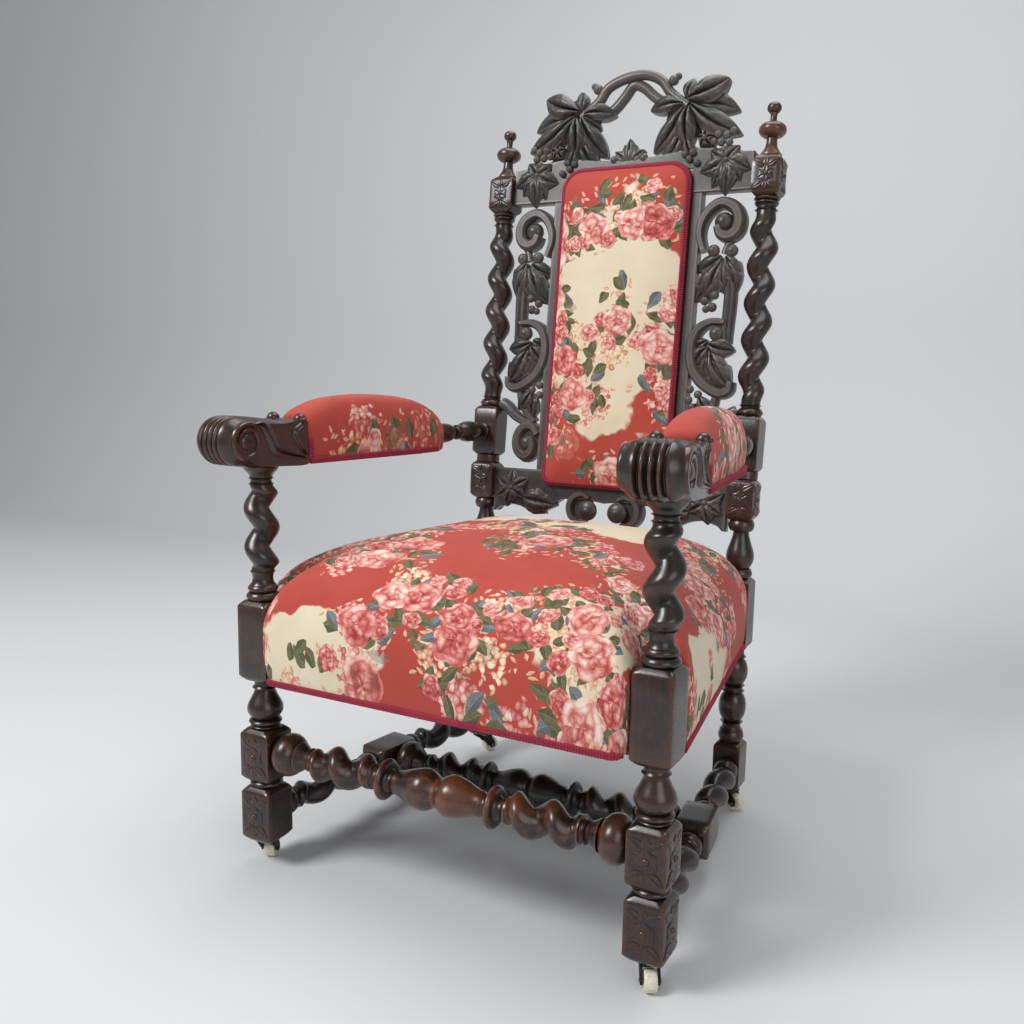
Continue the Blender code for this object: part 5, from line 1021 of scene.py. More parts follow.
SIDE_STRAPS = [                 # rise over the board's face, ridge, steps, widths along it, its course
    (0.004, 0.0, 64, [0.013, 0.016, 0.018, 0.021, 0.023, 0.021, 0.016],
     [(0.140, 0.906), (0.1325, 0.930), (0.1345, 0.952), (0.147, 0.972), (0.1655, 0.981), (0.186, 0.972),
      (0.1945, 0.954), (0.191, 0.936), (0.179, 0.928), (0.166, 0.932), (0.160, 0.944)]),
    (-0.002, 0.12, 40, [0.014, 0.021, 0.021, 0.020, 0.014],
     [(0.179, 0.872), (0.187, 0.845), (0.1875, 0.815), (0.1865, 0.780), (0.189, 0.758)]),
    (0.003, 0.0, 64, [0.011, 0.017, 0.020, 0.020, 0.018, 0.013],
     [(0.184, 0.792), (0.160, 0.792), (0.140, 0.779), (0.1315, 0.754), (0.1345, 0.724), (0.147, 0.702),
      (0.165, 0.687), (0.184, 0.679), (0.198, 0.684), (0.2005, 0.698)]),
    (-0.001, 0.0, 40, [0.020, 0.019, 0.018, 0.016, 0.012],
     [(0.2125, 0.652), (0.200, 0.645), (0.186, 0.632), (0.168, 0.622), (0.150, 0.618)]),
    (-0.003, 0.0, 40, [0.012, 0.017, 0.014],
     [(0.178, 0.676), (0.172, 0.655), (0.160, 0.636), (0.146, 0.620)])]
SIDE_STALK = [(0.186, 0.925, 0.0), (0.178, 0.913, 0.002), (0.174, 0.900, 0.004)]
VOLUTE_EYE, VOLUTE_WIDE, VOLUTE_TALL, VOLUTE_STRAP = (0.155, 0.5825), 0.0235, 0.0320, 0.018
VOLUTE_START, VOLUTE_END, VOLUTE_SHRINK = 150, -230, 0.62       # bearings in degrees, and how far it winds in


def volute(shape, height, floor):
    """Strap winding into an eye, over a plain oval ground."""
    steps = 14
    points = []
    for i in range(steps + 1):
        share = i / steps
        bearing = math.radians(VOLUTE_START + (VOLUTE_END - VOLUTE_START) * share)
        shrink = 1 - VOLUTE_SHRINK * share ** 1.4
        points.append((VOLUTE_EYE[0] + VOLUTE_WIDE * shrink * math.cos(bearing),
                       VOLUTE_EYE[1] + VOLUTE_TALL * shrink * math.sin(bearing)))
    widths = [VOLUTE_STRAP * share for share in (0.8, 1, 1.15, 1, 0.7)]
    shape.band(on_back, points, widths, height, floor, steps=60)
    shape.board(on_back, oval(VOLUTE_EYE, 0.025, 0.034), floor + 0.001, height - 0.009)


def side_carving():
    """Pierced carving right of the pad: plain strip, scrolls, hanging leaves, grapes, volute and a strut."""
    inner = BACK_PAD_HALF + FIT
    strip = inner + STRIP_WIDTH
    low, high = LOWER_RAIL_HIGH + FIT, CREST_LOW - FIT
    face, floor = BOARD / 2, -BOARD / 2 + 0.002
    shape = Shape()
    shape.board(on_back, [(inner, low), (strip, low), (strip, high), (inner, high)], -face, face - 0.002)
    shape.tube(on_back, SIDE_STALK, 0.006, 0.006)
    for i, (root, tip, width, rise, teeth) in enumerate(SIDE_LOBES):
        shape.lobe(on_back, root, tip, width * 1.12, rise, 0.002 + 0.003 * (i % 2), floor + 0.004,
                   bend=0.12 * (-1) ** i, droop=0.006, teeth=teeth, veins=5, late=1.05)
    for centre, radius in SIDE_GRAPES:
        shape.ball(on_back, centre, radius, 0.009)
    for centre, radius, height, flat, sides in SIDE_BALLS:
        shape.ball(on_back, centre, radius, height, flat, sides)
    for rise, ridge, steps, widths, course in SIDE_STRAPS:
        shape.band(on_back, course, widths, face + rise, floor, steps, ridge)
    volute(shape, face + 0.003, floor)
    return shape


# Arms

ARM_DIPS = [                    # share of the way from nose to pad, drop below the nose's top
    (0.0, 0.0), (0.22, 0.001), (0.42, 0.004), (0.62, 0.008), (0.78, 0.008), (0.92, 0.006), (1.0, 0.010)]
REED_SHARE, REEDED_SHARE, SHOULDER_SHARE = 0.28, 0.56, 0.50     # across the nose, of half its width
SCROLL_RADIUS, SCROLL_START, SCROLL_TURN, SCROLL_SHRINK = 0.0245, 60, 480, 0.42     # turns in degrees
SCROLL_WIDTHS, SCROLL_FLOOR = [0.0065, 0.0085, 0.0080, 0.0050], -0.006
KNOB_SETBACK, KNOB_DROP, KNOB_RADIUS = 0.0085, 0.0070, 0.0092


def arm_outline():
    """Side of the arm's front: round nose, dipping top, square end at the pad, flat underside."""
    nose = (NOSE_RADIUS - NOSE_REACH, ARM_UNDERSIDE + NOSE_LIFT + NOSE_RADIUS)
    points = [(nose[0] + NOSE_RADIUS * math.cos(t), nose[1] + NOSE_RADIUS * math.sin(t))
              for t in np.radians(np.linspace(270, 90, 22))]
    top, run = nose[1] + NOSE_RADIUS, ARM_PAD_FRONT - nose[0]
    points += [(nose[0] + share * run, top - drop) for share, drop in curve(ARM_DIPS, 22)[1:]]
    points += [(ARM_PAD_FRONT, z) for z in np.linspace(top - 0.02, ARM_UNDERSIDE + 0.001, 6)]
    points += [(d, ARM_UNDERSIDE) for d in np.linspace(ARM_PAD_FRONT * 0.8, nose[0] * 0.55, 10)]
    return nose, np.array(points)


def reed_profile(across):
    """How far the nose's face is cut in, across the arm: four grooves in the middle, tapered shoulders."""
    share = abs(across) / (ARM_WIDTH / 2)
    groove = REED_DEPTH * abs(math.sin(math.pi * share / REED_SHARE)) ** 3 if share < REEDED_SHARE else 0.0
    return groove + NOSE_TAPER * max(0.0, (share - SHOULDER_SHARE) / (1 - SHOULDER_SHARE)) ** 1.7


def arm_front(shape, place, nose, outline):
    """Block of the arm before the pad, reeded round its nose."""
    rows = []
    for across in np.linspace(-1, 1, 61) * ARM_WIDTH / 2:
        inset = reed_profile(across)
        ring = []
        for d, z in outline:
            fade = clamp(1.5 * (ARM_PAD_FRONT - 0.020 - d) / (ARM_PAD_FRONT - nose[0]))
            fade = fade if z > ARM_UNDERSIDE + 0.002 else fade * 0.4
            inward = np.array((max(d, nose[0]) - d, nose[1] - z))
            inward /= max(1e-6, np.linalg.norm(inward))
            ring.append(place(across, d + inward[0] * inset * fade, z + inward[1] * inset * fade))
        rows.append(ring)
    shape.grid(rows)


def arm_scroll(shape, on_side, nose):
    """Carving on a side of the arm's front: scroll with a boss, two leafy bands and a corner knob."""
    eye = np.array((nose[0] + 0.004, nose[1]))
    top, pad = nose[1] + NOSE_RADIUS, ARM_PAD_FRONT
    spiral = []
    for share in np.linspace(0, 1, 33):
        bearing = math.radians(SCROLL_START + SCROLL_TURN * share)
        reach = SCROLL_RADIUS * (1 - SCROLL_SHRINK * share)
        spiral.append(eye + reach * np.array((math.cos(bearing), math.sin(bearing))))
    shape.band(on_side, spiral, SCROLL_WIDTHS, 0.0036, SCROLL_FLOOR, steps=96)
    shape.ball(on_side, eye, 0.0115, -0.001, 0.45, sides=24)
    broad = [eye + (0.010, 0.0225), eye + (0.026, 0.021), eye + (0.040, 0.006), eye + (0.054, -0.014),
             (pad - 0.006, ARM_UNDERSIDE + 0.010)]
    shape.band(on_side, broad, [0.006, 0.013, 0.020, 0.018, 0.004], 0.0042, SCROLL_FLOOR, ridge=0.35)
    lesser = [(pad - 0.012, top - 0.014), (pad - 0.024, nose[1] + 0.008), (pad - 0.014, nose[1] - 0.010),
              (pad - 0.004, nose[1] - 0.022)]
    shape.band(on_side, lesser, [0.010, 0.012, 0.009, 0.004], 0.0028, SCROLL_FLOOR, ridge=0.25)
    knob = (pad - KNOB_SETBACK, top - KNOB_DROP)
    shape.ball(on_side, knob, KNOB_RADIUS, -0.0070, sides=20)
    shape.ball(on_side, knob, 0.0035, 0.0010, sides=16)


def make_arm(name, side):
    """Scroll arm with a reeded nose, a core under the pad and a turned end that enters the post."""
    place = on_arm(side)
    nose, outline = arm_outline()
    shape = Shape()
    arm_front(shape, place, nose, outline)
    for face in (-1, 1):
        arm_scroll(shape, lambda p, q, h: place(face * (ARM_WIDTH / 2 + h), p, q), nose)
    core = Turned(48)
    shoulder = ARM_RUN - (POST_HALF + FIT) / math.cos(ARM_ANGLE) - FIT
    shoulder -= DOWEL * (math.tan(ARM_ANGLE) + math.tan(RAKE))
    core_end = ARM_PAD_FRONT + ARM_PAD_LENGTH - 0.012
    core.square(ARM_PAD_FRONT - 0.030, CORE_HALF_WIDTH)
    core.square(core_end, CORE_HALF_WIDTH)
    core.span(core_end, shoulder, [("neck", 8, NECK), ("ball", 40, BALL * 0.66), ("neck", 7, NECK * 0.62),
                                   ("fillet", 6, NECK * 0.9), ("ball", 42, BALL * 0.72),
                                   ("neck", 10, NECK * 0.8)])
    core.ring(shoulder, DOWEL)
    shape.add(core.shape(lambda x, y, s: place(x, s, ARM_AXIS_Z + y)))
    piece(name + "_carved", shape, TURNED_OAK, [name])


# Upholstery

def apply_modifiers(item):
    """Make an object's modifiers part of its mesh."""
    made = bpy.data.meshes.new_from_object(item.evaluated_get(bpy.context.evaluated_depsgraph_get()))
    item.modifiers.clear()
    old, item.data = item.data, made
    bpy.data.meshes.remove(old)


def blow_up(item, start, held, pressure, cap, frames=20):
    """Cloth simulation under pressure with the held points tacked; no point moves further than the cap."""
    group = item.vertex_groups.new(name="tacked")
    for i, share in enumerate(held):
        group.add([i], float(share), "REPLACE")
    cloth = item.modifiers.new("cloth", "CLOTH")
    cloth.settings.quality = 4
    cloth.settings.mass = 0.3
    cloth.settings.tension_stiffness = cloth.settings.compression_stiffness = 18
    cloth.settings.bending_stiffness = 1.2
    cloth.settings.use_pressure = True
    cloth.settings.uniform_pressure_force = pressure
    cloth.settings.vertex_group_mass = "tacked"
    cloth.settings.effector_weights.gravity = 0
    cloth.collision_settings.use_collision = False
    cloth.point_cache.frame_start, cloth.point_cache.frame_end = 1, frames
    scene = bpy.context.scene
    for step in range(1, frames + 1):
        scene.frame_set(step)
    apply_modifiers(item)
    scene.frame_set(1)
    moved = np.array([v.co for v in item.data.vertices]) - start
    reach = np.linalg.norm(moved, axis=1)
    moved *= np.minimum(1.0, cap / np.maximum(reach, 1e-9))[:, None]
    item.data.vertices.foreach_set("co", (start + moved).ravel())
    item.vertex_groups.clear()


def swell(item, voxel, pressure, cap, tacked):
    """Even mesh of a stuffed pad, blown up where it is not tacked down, then smoothed."""
    remesh = item.modifiers.new("even", "REMESH")
    remesh.mode, remesh.voxel_size = "VOXEL", voxel
    apply_modifiers(item)
    start = np.array([v.co for v in item.data.vertices])
    blow_up(item, start, [tacked(*point) for point in start], pressure, cap)
    smooth = item.modifiers.new("even_out", "SMOOTH")
    smooth.factor, smooth.iterations = 0.5, 3
    fine = item.modifiers.new("finer", "SUBSURF")
    fine.levels = fine.render_levels = 1
    apply_modifiers(item)


def cut(item, outline, low, high, place=row):
    """Take an upright block out of a pad, where the frame passes through it."""
    mesh = closed_mesh("tool", Shape().board(place, outline, low, high, edge=0.0), merge=True)
    block = put("tool", mesh)
    step = item.modifiers.new("cut", "BOOLEAN")
    step.operation, step.solver, step.object = "DIFFERENCE", "EXACT", block
    apply_modifiers(item)
    bpy.data.objects.remove(block, do_unlink=True)
    bpy.data.meshes.remove(mesh)


def closed_form(name, rows):
    """Object from rings of points in the frame, closed at both ends."""
    return put(name, closed_mesh(name, Shape().grid(rows)))


def cover(item, flatten, replaced):
    """Dress a pad with the printed cover; flatten tells where each of its points lies on the flat cloth."""
    points = np.array([flatten(*v.co) for v in item.data.vertices], np.float32)
    places = item.data.attributes.new("cloth_place", "FLOAT_VECTOR", "POINT")
    places.data.foreach_set("vector", points.ravel())
    item.data.shade_smooth()
    settle(item, COVER, [replaced])


SEAT_LEVELS = [                 # share of the rise, share of the outline
    (0.0, 0.985), (0.06, 0.994), (0.12, 1.0), (0.30, 1.010), (0.46, 1.000), (0.58, 0.970), (0.70, 0.913),
    (0.80, 0.823), (0.89, 0.680), (0.955, 0.470), (0.99, 0.220)]
SEAT_CORNER, SEAT_GAP = 0.022, 0.0015
SEAT_RING_STEPS, SEAT_BACK_STEPS = 24, 16
SPRING_WELL = 0.052             # how far the hollow for the springs stays inside the rails' middle
LEG_CORNER = 1.42               # corner of a square member, beside half its side


def seat_outline(spread, rounding):
    """Ring of the seat at one level: notched round legs and posts below, rounded at the corners above."""
    front_y, tuck_y = -LEG_HALF - SEAT_PROUD, 0.0025 - LEG_HALF
    back_y = DEPTH + RAIL_THICKNESS / 2 + 0.006
    notch_x, leg_back = FRONT_HALF - LEG_HALF - SEAT_GAP, LEG_HALF + SEAT_GAP
    post_front, back_x = DEPTH - POST_HALF - SEAT_GAP, BACK_HALF - POST_HALF - SEAT_GAP
    side_front = np.array((FRONT_HALF + LEG_HALF, leg_back))
    side_back = np.array((BACK_HALF + POST_HALF, post_front))
    front_corner = np.array((side_front[0] - SEAT_CORNER, tuck_y + SEAT_CORNER))
    back_corner = np.array((side_back[0] - SEAT_CORNER, back_y - SEAT_CORNER))
    steps, back_steps = SEAT_RING_STEPS, SEAT_BACK_STEPS
    half = [((notch_x * 0.94 * i / steps, front_y), None, False) for i in range(steps)]
    for t in np.radians((0, 22, 45, 68, 90)):
        tuck = (notch_x * (0.94 + 0.06 * math.sin(t)), front_y + (tuck_y - front_y) * (1 - math.cos(t)))
        half.append((tuck, None, t > 1))
    half += [((notch_x, leg_back), front_corner, True)]
    half += [(side_front + (side_back - side_front) * i / steps, None, i in (0, steps))
             for i in range(steps + 1)]
    half += [((back_x, post_front), back_corner, True), ((back_x, back_y), None, True)]
    half += [((back_x * (1 - i / back_steps), back_y), None, False) for i in range(1, back_steps)]
    centre = np.array((0, SEAT_MIDDLE_Y))
    ring = []
    for point, crown, held in half:
        point = np.array(point, float)
        point = point + ((crown if crown is not None else point) - point) * rounding
        ring.append(centre + (point - centre) * (min(spread, 1.0) if held else spread))
    middle = np.array((0, centre[1] + (back_y - centre[1]) * spread))
    return ring + [middle] + [p * (-1, 1) for p in reversed(ring[1:])]


def make_seat():
    """Domed seat over the rails, hollow where rails and springs stand."""
    rise = SEAT_CROWN - SEAT_HEM
    rows = []
    for height, spread in curve(SEAT_LEVELS, 44):
        outline = seat_outline(spread, clamp((0.92 - spread) / 0.20))
        rows.append([row(x, y, SEAT_HEM + height * rise) for x, y in outline])
    rows.append([row(0.02 * x, SEAT_MIDDLE_Y + 0.02 * (y - SEAT_MIDDLE_Y), SEAT_CROWN)
                 for x, y in seat_outline(1, 1)])
    seat = closed_form("seat_cushion", rows)

    def tacked(x, y, z):
        y -= FRONT_Y
        leg = math.hypot(abs(x) - FRONT_HALF, y) - LEG_HALF * LEG_CORNER
        post = math.hypot(abs(x) - BACK_HALF, y - DEPTH) - POST_HALF * LEG_CORNER
        return max(clamp((SEAT_HEM + 0.040 - z) / 0.030), clamp(1 - (min(leg, post) - 0.006) / 0.035))
    swell(seat, voxel=0.0075, pressure=3.0, cap=0.008, tacked=tacked)
    for inset, top in ((-RAIL_THICKNESS / 2 - FIT, RAIL_BOTTOM + RAIL_HEIGHT + FIT),
                       (SPRING_WELL, SPRING_TOP + SPRING_WIRE + FIT)):
        right = [(inner_side_x(y, inset), y) for y in (inset, DEPTH - inset)]
        cut(seat, mirrored(right, []), SEAT_HEM - 0.01, top)
    half_deep = (DEPTH + LEG_HALF + 0.0185) / 2

    def flatten(x, y, z):
        y -= FRONT_Y
        across = x / (inner_side_x(y, 0) + 0.024)
        along = (y - SEAT_MIDDLE_Y) / half_deep
        out = np.array((math.copysign(abs(across) ** 7, across), math.copysign(abs(along) ** 7, along)))
        out /= max(0.05, np.linalg.norm(out))
        drop = 0.86 * (SEAT_CROWN - z)
        return x + out[0] * drop, y + out[1] * drop, 0.0
    cover(seat, flatten, "seat_pad")


ARM_PAD_STATIONS = [            # share of the length, share of the width, share of the rise
    (0.0, 0.90, 0.72), (0.03, 0.95, 0.79), (0.08, 0.98, 0.86), (0.18, 1.0, 0.95), (0.36, 1.0, 1.0),
    (0.56, 0.98, 0.985), (0.74, 0.93, 0.93), (0.86, 0.87, 0.83), (0.94, 0.79, 0.71), (1.0, 0.68, 0.55)]
ARM_PAD_END_WRAP = 0.03         # length over which the print turns down over the pad's ends


def make_arm_pad(name, side):
    """Round-topped pad over the arm's core."""
    place = on_arm(side)
    rise = ARM_PAD_TOP - ARM_UNDERSIDE
    rows = []
    for share, wide, tall in curve(ARM_PAD_STATIONS, 46):
        back = ARM_PAD_FRONT + FIT + share * ARM_PAD_LENGTH
        half = ARM_PAD_HALF * wide - 0.001
        ring = [place(half * 0.90 * c, back, ARM_UNDERSIDE + FIT) for c in np.linspace(-1, 1, 7)]
        for angle in np.radians(np.linspace(0, 180, 25)):
            x = math.copysign(abs(math.cos(angle)) ** 0.66, math.cos(angle))
            height = rise * tall * (0.40 + 0.60 * math.sin(angle) ** 0.85)
            ring.append(place(half * x, back, ARM_UNDERSIDE + height))
        rows.append(ring)
    pad = closed_form(name + "_cushion", rows)
    turn = Matrix.Rotation(-side * ARM_ANGLE, 3, "Z")

    def in_arm(x, y):
        return (turn @ Vector((x - side * FRONT_HALF, y - FRONT_Y, 0))).xy

    def tacked(x, y, z):
        _, back = in_arm(x, y)
        return max(clamp((ARM_UNDERSIDE + 0.022 - z) / 0.016), clamp((ARM_PAD_FRONT + 0.022 - back) / 0.016))
    swell(pad, voxel=0.005, pressure=2.5, cap=0.003, tacked=tacked)
    channel, roof = CORE_HALF_WIDTH + FIT, ARM_AXIS_Z + CORE_HALF_HEIGHT + FIT
    near, far = ARM_PAD_FRONT - 0.02, ARM_PAD_FRONT + ARM_PAD_LENGTH + 0.02
    cut(pad, [(-channel, near), (channel, near), (channel, far), (-channel, far)], ARM_UNDERSIDE - 0.01, roof,
        place)

    def flatten(x, y, z):
        across, back = in_arm(x, y)
        drop = (ARM_PAD_TOP - z) * 0.8
        front = max(0.0, 1 - (back - ARM_PAD_FRONT) / ARM_PAD_END_WRAP)
        rear = max(0.0, 1 - (ARM_PAD_FRONT + ARM_PAD_LENGTH - back) / ARM_PAD_END_WRAP)
        down = math.copysign(1, across) * drop * min(1.0, abs(across) / 0.02)
        return across + down + ARM_PRINT_X[side], back + ARM_PRINT_Y + (rear - front) * drop, 0.0
    cover(pad, flatten, name)


BACK_PAD_LEVELS = [             # share of the crown, inset
    (0.0, 0.0), (0.12, 0.0), (0.27, 0.004), (0.47, 0.014), (0.70, 0.032), (0.87, 0.056), (0.967, 0.084),
    (1.0, 0.108)]


def back_pad_outline(inset, count=120):
    """Evenly spread points round the back pad, from the middle of its foot."""
    half, corner = BACK_PAD_HALF - FIT - inset, max(0.003, BACK_PAD_CORNER - inset * 0.6)
    low, high = BACK_PAD_LOW + inset, BACK_PAD_HIGH - inset
    foot = 0.006
    points = [(0, low), (half - foot, low), (half, low + foot), (half, high - corner)]
    points += [(half - corner * (1 - math.cos(t)), high - corner * (1 - math.sin(t)))
               for t in np.radians(np.linspace(8, 90, 10))]
    points = np.array(mirrored(points, []))
    length = lengths(points)
    at = np.linspace(0, length[-1], count, endpoint=False)
    return np.stack([np.interp(at, length, points[:, k]) for k in (0, 1)], -1)


def make_back_pad():
    """Low pad on the face of the back, rounded from its edges to its middle."""
    face = BOARD / 2 + FIT
    rows = [[on_back(p, q, face + rise * BACK_PAD_CROWN) for p, q in back_pad_outline(max(0.0, inset))]
            for rise, inset in curve(BACK_PAD_LEVELS, 28)]
    pad = closed_form("back_cushion", rows)
    normal = np.array((0, -math.cos(RAKE), math.sin(RAKE)))
    slope = np.array((0, math.sin(RAKE), math.cos(RAKE)))
    base = np.array(on_back(0, KNEE_Z, 0))

    def tacked(x, y, z):
        lift = (np.array((x, y, z)) - base) @ normal - face
        return clamp((0.012 - lift) / 0.006)
    swell(pad, voxel=0.005, pressure=2.5, cap=0.004, tacked=tacked)

    def flatten(x, y, z):
        up = (np.array((x, y, z)) - base) @ slope + KNEE_Z
        return x + BACK_PRINT[0], up + BACK_PRINT[1], 0.0
    cover(pad, flatten, "back_pad")


def make_outside_back():
    """Covered panel that closes the back between the stiles."""
    half = BACK_PAD_HALF - STILE_WIDTH - FIT
    low, high = LOWER_RAIL_HIGH + FIT, CREST_UNDER - FIT
    rows = []
    for depth, inset in ((0.004, 0.0), (0.0016, 0.0), (0.0005, 0.0012), (0.0, 0.004)):
        corners = []
        for a, b in ((-1, -1), (1, -1), (1, 1), (-1, 1)):
            p, q = a * (half - inset), (low + high) / 2 + b * ((high - low) / 2 - inset)
            corners.append(np.array(on_back(p, q, -BOARD / 2 + 0.002 + depth)))
        rows.append(np.vstack([np.linspace(near, far, 24, endpoint=False)
                               for near, far in zip(corners, corners[1:] + corners[:1])]))
    panel = closed_form("outside_back_panel", rows)
    cover(panel, lambda x, y, z: (x + PANEL_PRINT[0], z + PANEL_PRINT[1], 0.0), "outside_back")
    panel.data.set_sharp_from_angle(angle=SHARP_EDGE)


# Braid

BRAID_SECTION = [               # share of half the width, share of the thickness
    (-1, -0.1), (-0.96, 0.42), (-0.70, 0.86), (-0.34, 0.92), (0, 0.70), (0.34, 0.92), (0.70, 0.86),
    (0.96, 0.42), (1, -0.1)]
BACK_BRAID_INSET, BACK_BRAID_HEIGHT, BACK_BRAID_LEAN = 0.0040, 0.22, 0.85
ARM_BRAID_END, ARM_BRAID_TURN = 0.30, (0.78, 0.93)      # end of the straight part, and shares of the rest
ARM_BRAID_RISE = [              # lift, share of the width
    (0.008, 0.930), (0.020, 0.930), (0.030, 0.922), (0.037, 0.900)]


def make_braid(name, path, outward, closed=False):
    """Ribbed braid along a path; outward gives the way its face looks at each point."""
    path, outward = np.asarray(path, float), np.asarray(outward, float)
    if closed:
        path, outward = np.vstack([path, path[:1]]), np.vstack([outward, outward[:1]])
    length = lengths(path)
    at = np.linspace(0, length[-1], int(length[-1] / BRAID_RIB * 4), endpoint=not closed)
    spots, faces = (np.stack([np.interp(at, length, values[:, k]) for k in range(3)], -1)
                    for values in (path, outward))
    faces = unit(faces)
    wide = np.cross(faces, unit(np.gradient(spots, axis=0)))
    rib = 0.60 + 0.40 * np.abs(np.cos(math.pi * at / BRAID_RIB))
    half = wide * (BRAID_WIDTH / 2 * (0.8 + 0.2 * rib))[:, None]
    thick = faces * (BRAID_THICKNESS * rib)[:, None]
    rows = np.stack([spots + half * c + thick * h for c, h in BRAID_SECTION], 1)
    if closed:
        rows = np.concatenate([rows, rows[:1]])
    return piece(name, Shape().grid(rows, caps=not closed), BRAID)


def make_back_braid():
    """Braid round the edge of the back pad."""
    height = BOARD / 2 + FIT + BACK_BRAID_HEIGHT * BACK_PAD_CROWN + 0.0006
    edge = back_pad_outline(BACK_BRAID_INSET, 300)
    outward = -sideways(np.vstack([edge, edge[:1]]))[:-1] * BACK_BRAID_LEAN
    base = np.array(on_back(0, KNEE_Z, 0))
    make_braid("back_pad_braid", [on_back(p, q, height) for p, q in edge],
               [np.array(on_back(a, KNEE_Z + b, 1.0)) - base for a, b in outward], closed=True)


def make_arm_braids(label, side):
    """Braid along both feet of an arm pad and up its front edges."""
    place = on_arm(side)
    foot = ARM_UNDERSIDE + BRAID_WIDTH / 2 + 0.0008
    turn = Matrix.Rotation(side * ARM_ANGLE, 3, "Z")
    shares, widths = zip(*[(share, wide) for share, wide, _ in ARM_PAD_STATIONS[-4:]])
    run = [(ARM_PAD_HALF * 0.955, back, (1, 0, 0))
           for back in np.linspace(ARM_PAD_FRONT + 0.004, ARM_BRAID_END, 20)]
    for share in np.linspace(*ARM_BRAID_TURN, 6):
        reach = np.interp(share, shares, widths) * ARM_PAD_HALF
        run.append((reach * 0.95, ARM_PAD_FRONT + share * ARM_PAD_LENGTH, (1, 0.2, 0)))
    for hand in (-1, 1):
        tag = "outer" if hand == side else "inner"
        looks = [tuple(turn @ Vector((hand * x, y, 0))) for _, _, (x, y, _) in run]
        path = [place(hand * across, back, foot) for across, back, _ in run]
        make_braid(f"arm_braid_{tag}_{label}", path, looks)
        edge = [place(hand * ARM_PAD_HALF * wide, ARM_PAD_FRONT + 0.0062, ARM_UNDERSIDE + lift)
                for lift, wide in ARM_BRAID_RISE]
        make_braid(f"arm_braid_front_{tag}_{label}", edge, [looks[0]] * len(edge))


def make_braids():
    """Braid round the back pad, along the seat's hem and on the arm pads."""
    make_back_braid()
    z = SEAT_HEM + BRAID_WIDTH / 2 + 0.001
    sunk, clear = 0.0005, 0.0008
    ring = np.array(seat_outline(0.992, 0.0))
    front = ring[ring[:, 1] < -LEG_HALF + 0.0035]
    front = front[np.argsort(front[:, 0])]
    make_braid("seat_braid_front", [row(x, y + sunk, z) for x, y in front], [(0, -1, 0)] * len(front))
    back = ring[np.abs(ring[:, 1] - ring[:, 1].max()) < 0.004]
    back = back[np.argsort(-back[:, 0])]
    make_braid("seat_braid_back", [row(x, y - sunk, z) for x, y in back], [(0, 1, 0)] * len(back))
    for label, side in SIDES.items():
        rim = [(x - side * sunk, y) for x, y in ring
               if side * x > max(BACK_HALF, inner_side_x(y, 0) + 0.01)
               and LEG_HALF + clear < y < DEPTH - POST_HALF - clear]
        rim.sort(key=lambda point: point[1])
        out = (side * math.cos(SIDE_ANGLE), math.sin(SIDE_ANGLE), 0)
        make_braid(f"seat_braid_{label}", [row(x, y, z) for x, y in rim], [out] * len(rim))
        make_arm_braids(label, side)


# Under the seat

def make_bottom_cloth():
    """Black cloth tacked under the rails, sagging a little between them."""
    edge, clear = RAIL_THICKNESS * 0.4, 0.002
    top = RAIL_BOTTOM - 2 * FIT - 0.0020
    leg_x, leg_y = FRONT_HALF - LEG_HALF - clear, LEG_HALF + clear
    post_x, post_y = BACK_HALF - POST_HALF - clear, DEPTH - POST_HALF - clear
    rows, widths = [], []
    for y in np.concatenate([[-edge, leg_y - 0.0002, leg_y], np.linspace(leg_y + 0.012, post_y - 0.012, 34),
                             [post_y, post_y + 0.0002, DEPTH + edge]]):
        half = leg_x if y < leg_y else post_x if y > post_y else inner_side_x(y, -edge)
        widths.append((y, half))
        sag = 0.0006 + 0.0034 * max(0.0, math.sin(math.pi * (y + edge) / (DEPTH + 2 * edge)))
        rows.append([row(half * c, y, top - sag * (1 - c * c)) for c in np.linspace(-1, 1, 31)])
    cloth = piece("bottom_cloth_sheet", Shape().grid(rows, caps=False, wrap=False), BLACK_CLOTH,
                  ["bottom_cloth"])
    area = sum((b[0] - a[0]) * (a[1] + b[1]) for a, b in zip(widths, widths[1:]))
    2 * max(w for _, w in widths)


WEBBING_SHARES, WEBBING_WIDTH, WEBBING_HALF_THICK, WEBBING_LIFT = (0.20, 0.50, 0.80), 0.064, 0.0004, 0.0007


def make_webbing():
    """Three jute straps each way, woven over and under."""
    shape = Shape()
    top, past = RAIL_BOTTOM - 0.0012, 0.006
    section = [(a * WEBBING_WIDTH / 2, b * WEBBING_HALF_THICK)
               for a, b in ((-1, -1), (1, -1), (1, 1), (-1, 1))]
    for i, share in enumerate(WEBBING_SHARES):
        y = -past + share * (DEPTH + 2 * past)
        half = inner_side_x(y, 0)
        for crosswise in (True, False):
            rows = []
            for c in np.linspace(-1, 1, 49):
                level = top + WEBBING_LIFT * math.cos(3.0 * math.pi * c / 1.2 + math.pi * (i + crosswise))
                at = DEPTH / 2 + c * (DEPTH / 2 + past)
                middle = (share * 2 - 1) * inner_side_x(at, 0)
                rows.append([row(half * c, y + w, level + t) if crosswise else row(middle + w, at, level + t)
                             for w, t in section])
            shape.grid(rows)
    piece("seat_webbing_straps", shape, JUTE, ["seat_webbing"])


# Castor wheels

WHEEL_PROFILE = [(1, 0.55), (1, 0.84), (0.86, 0.94), (0.55, 0.995)]     # shares of half width and radius


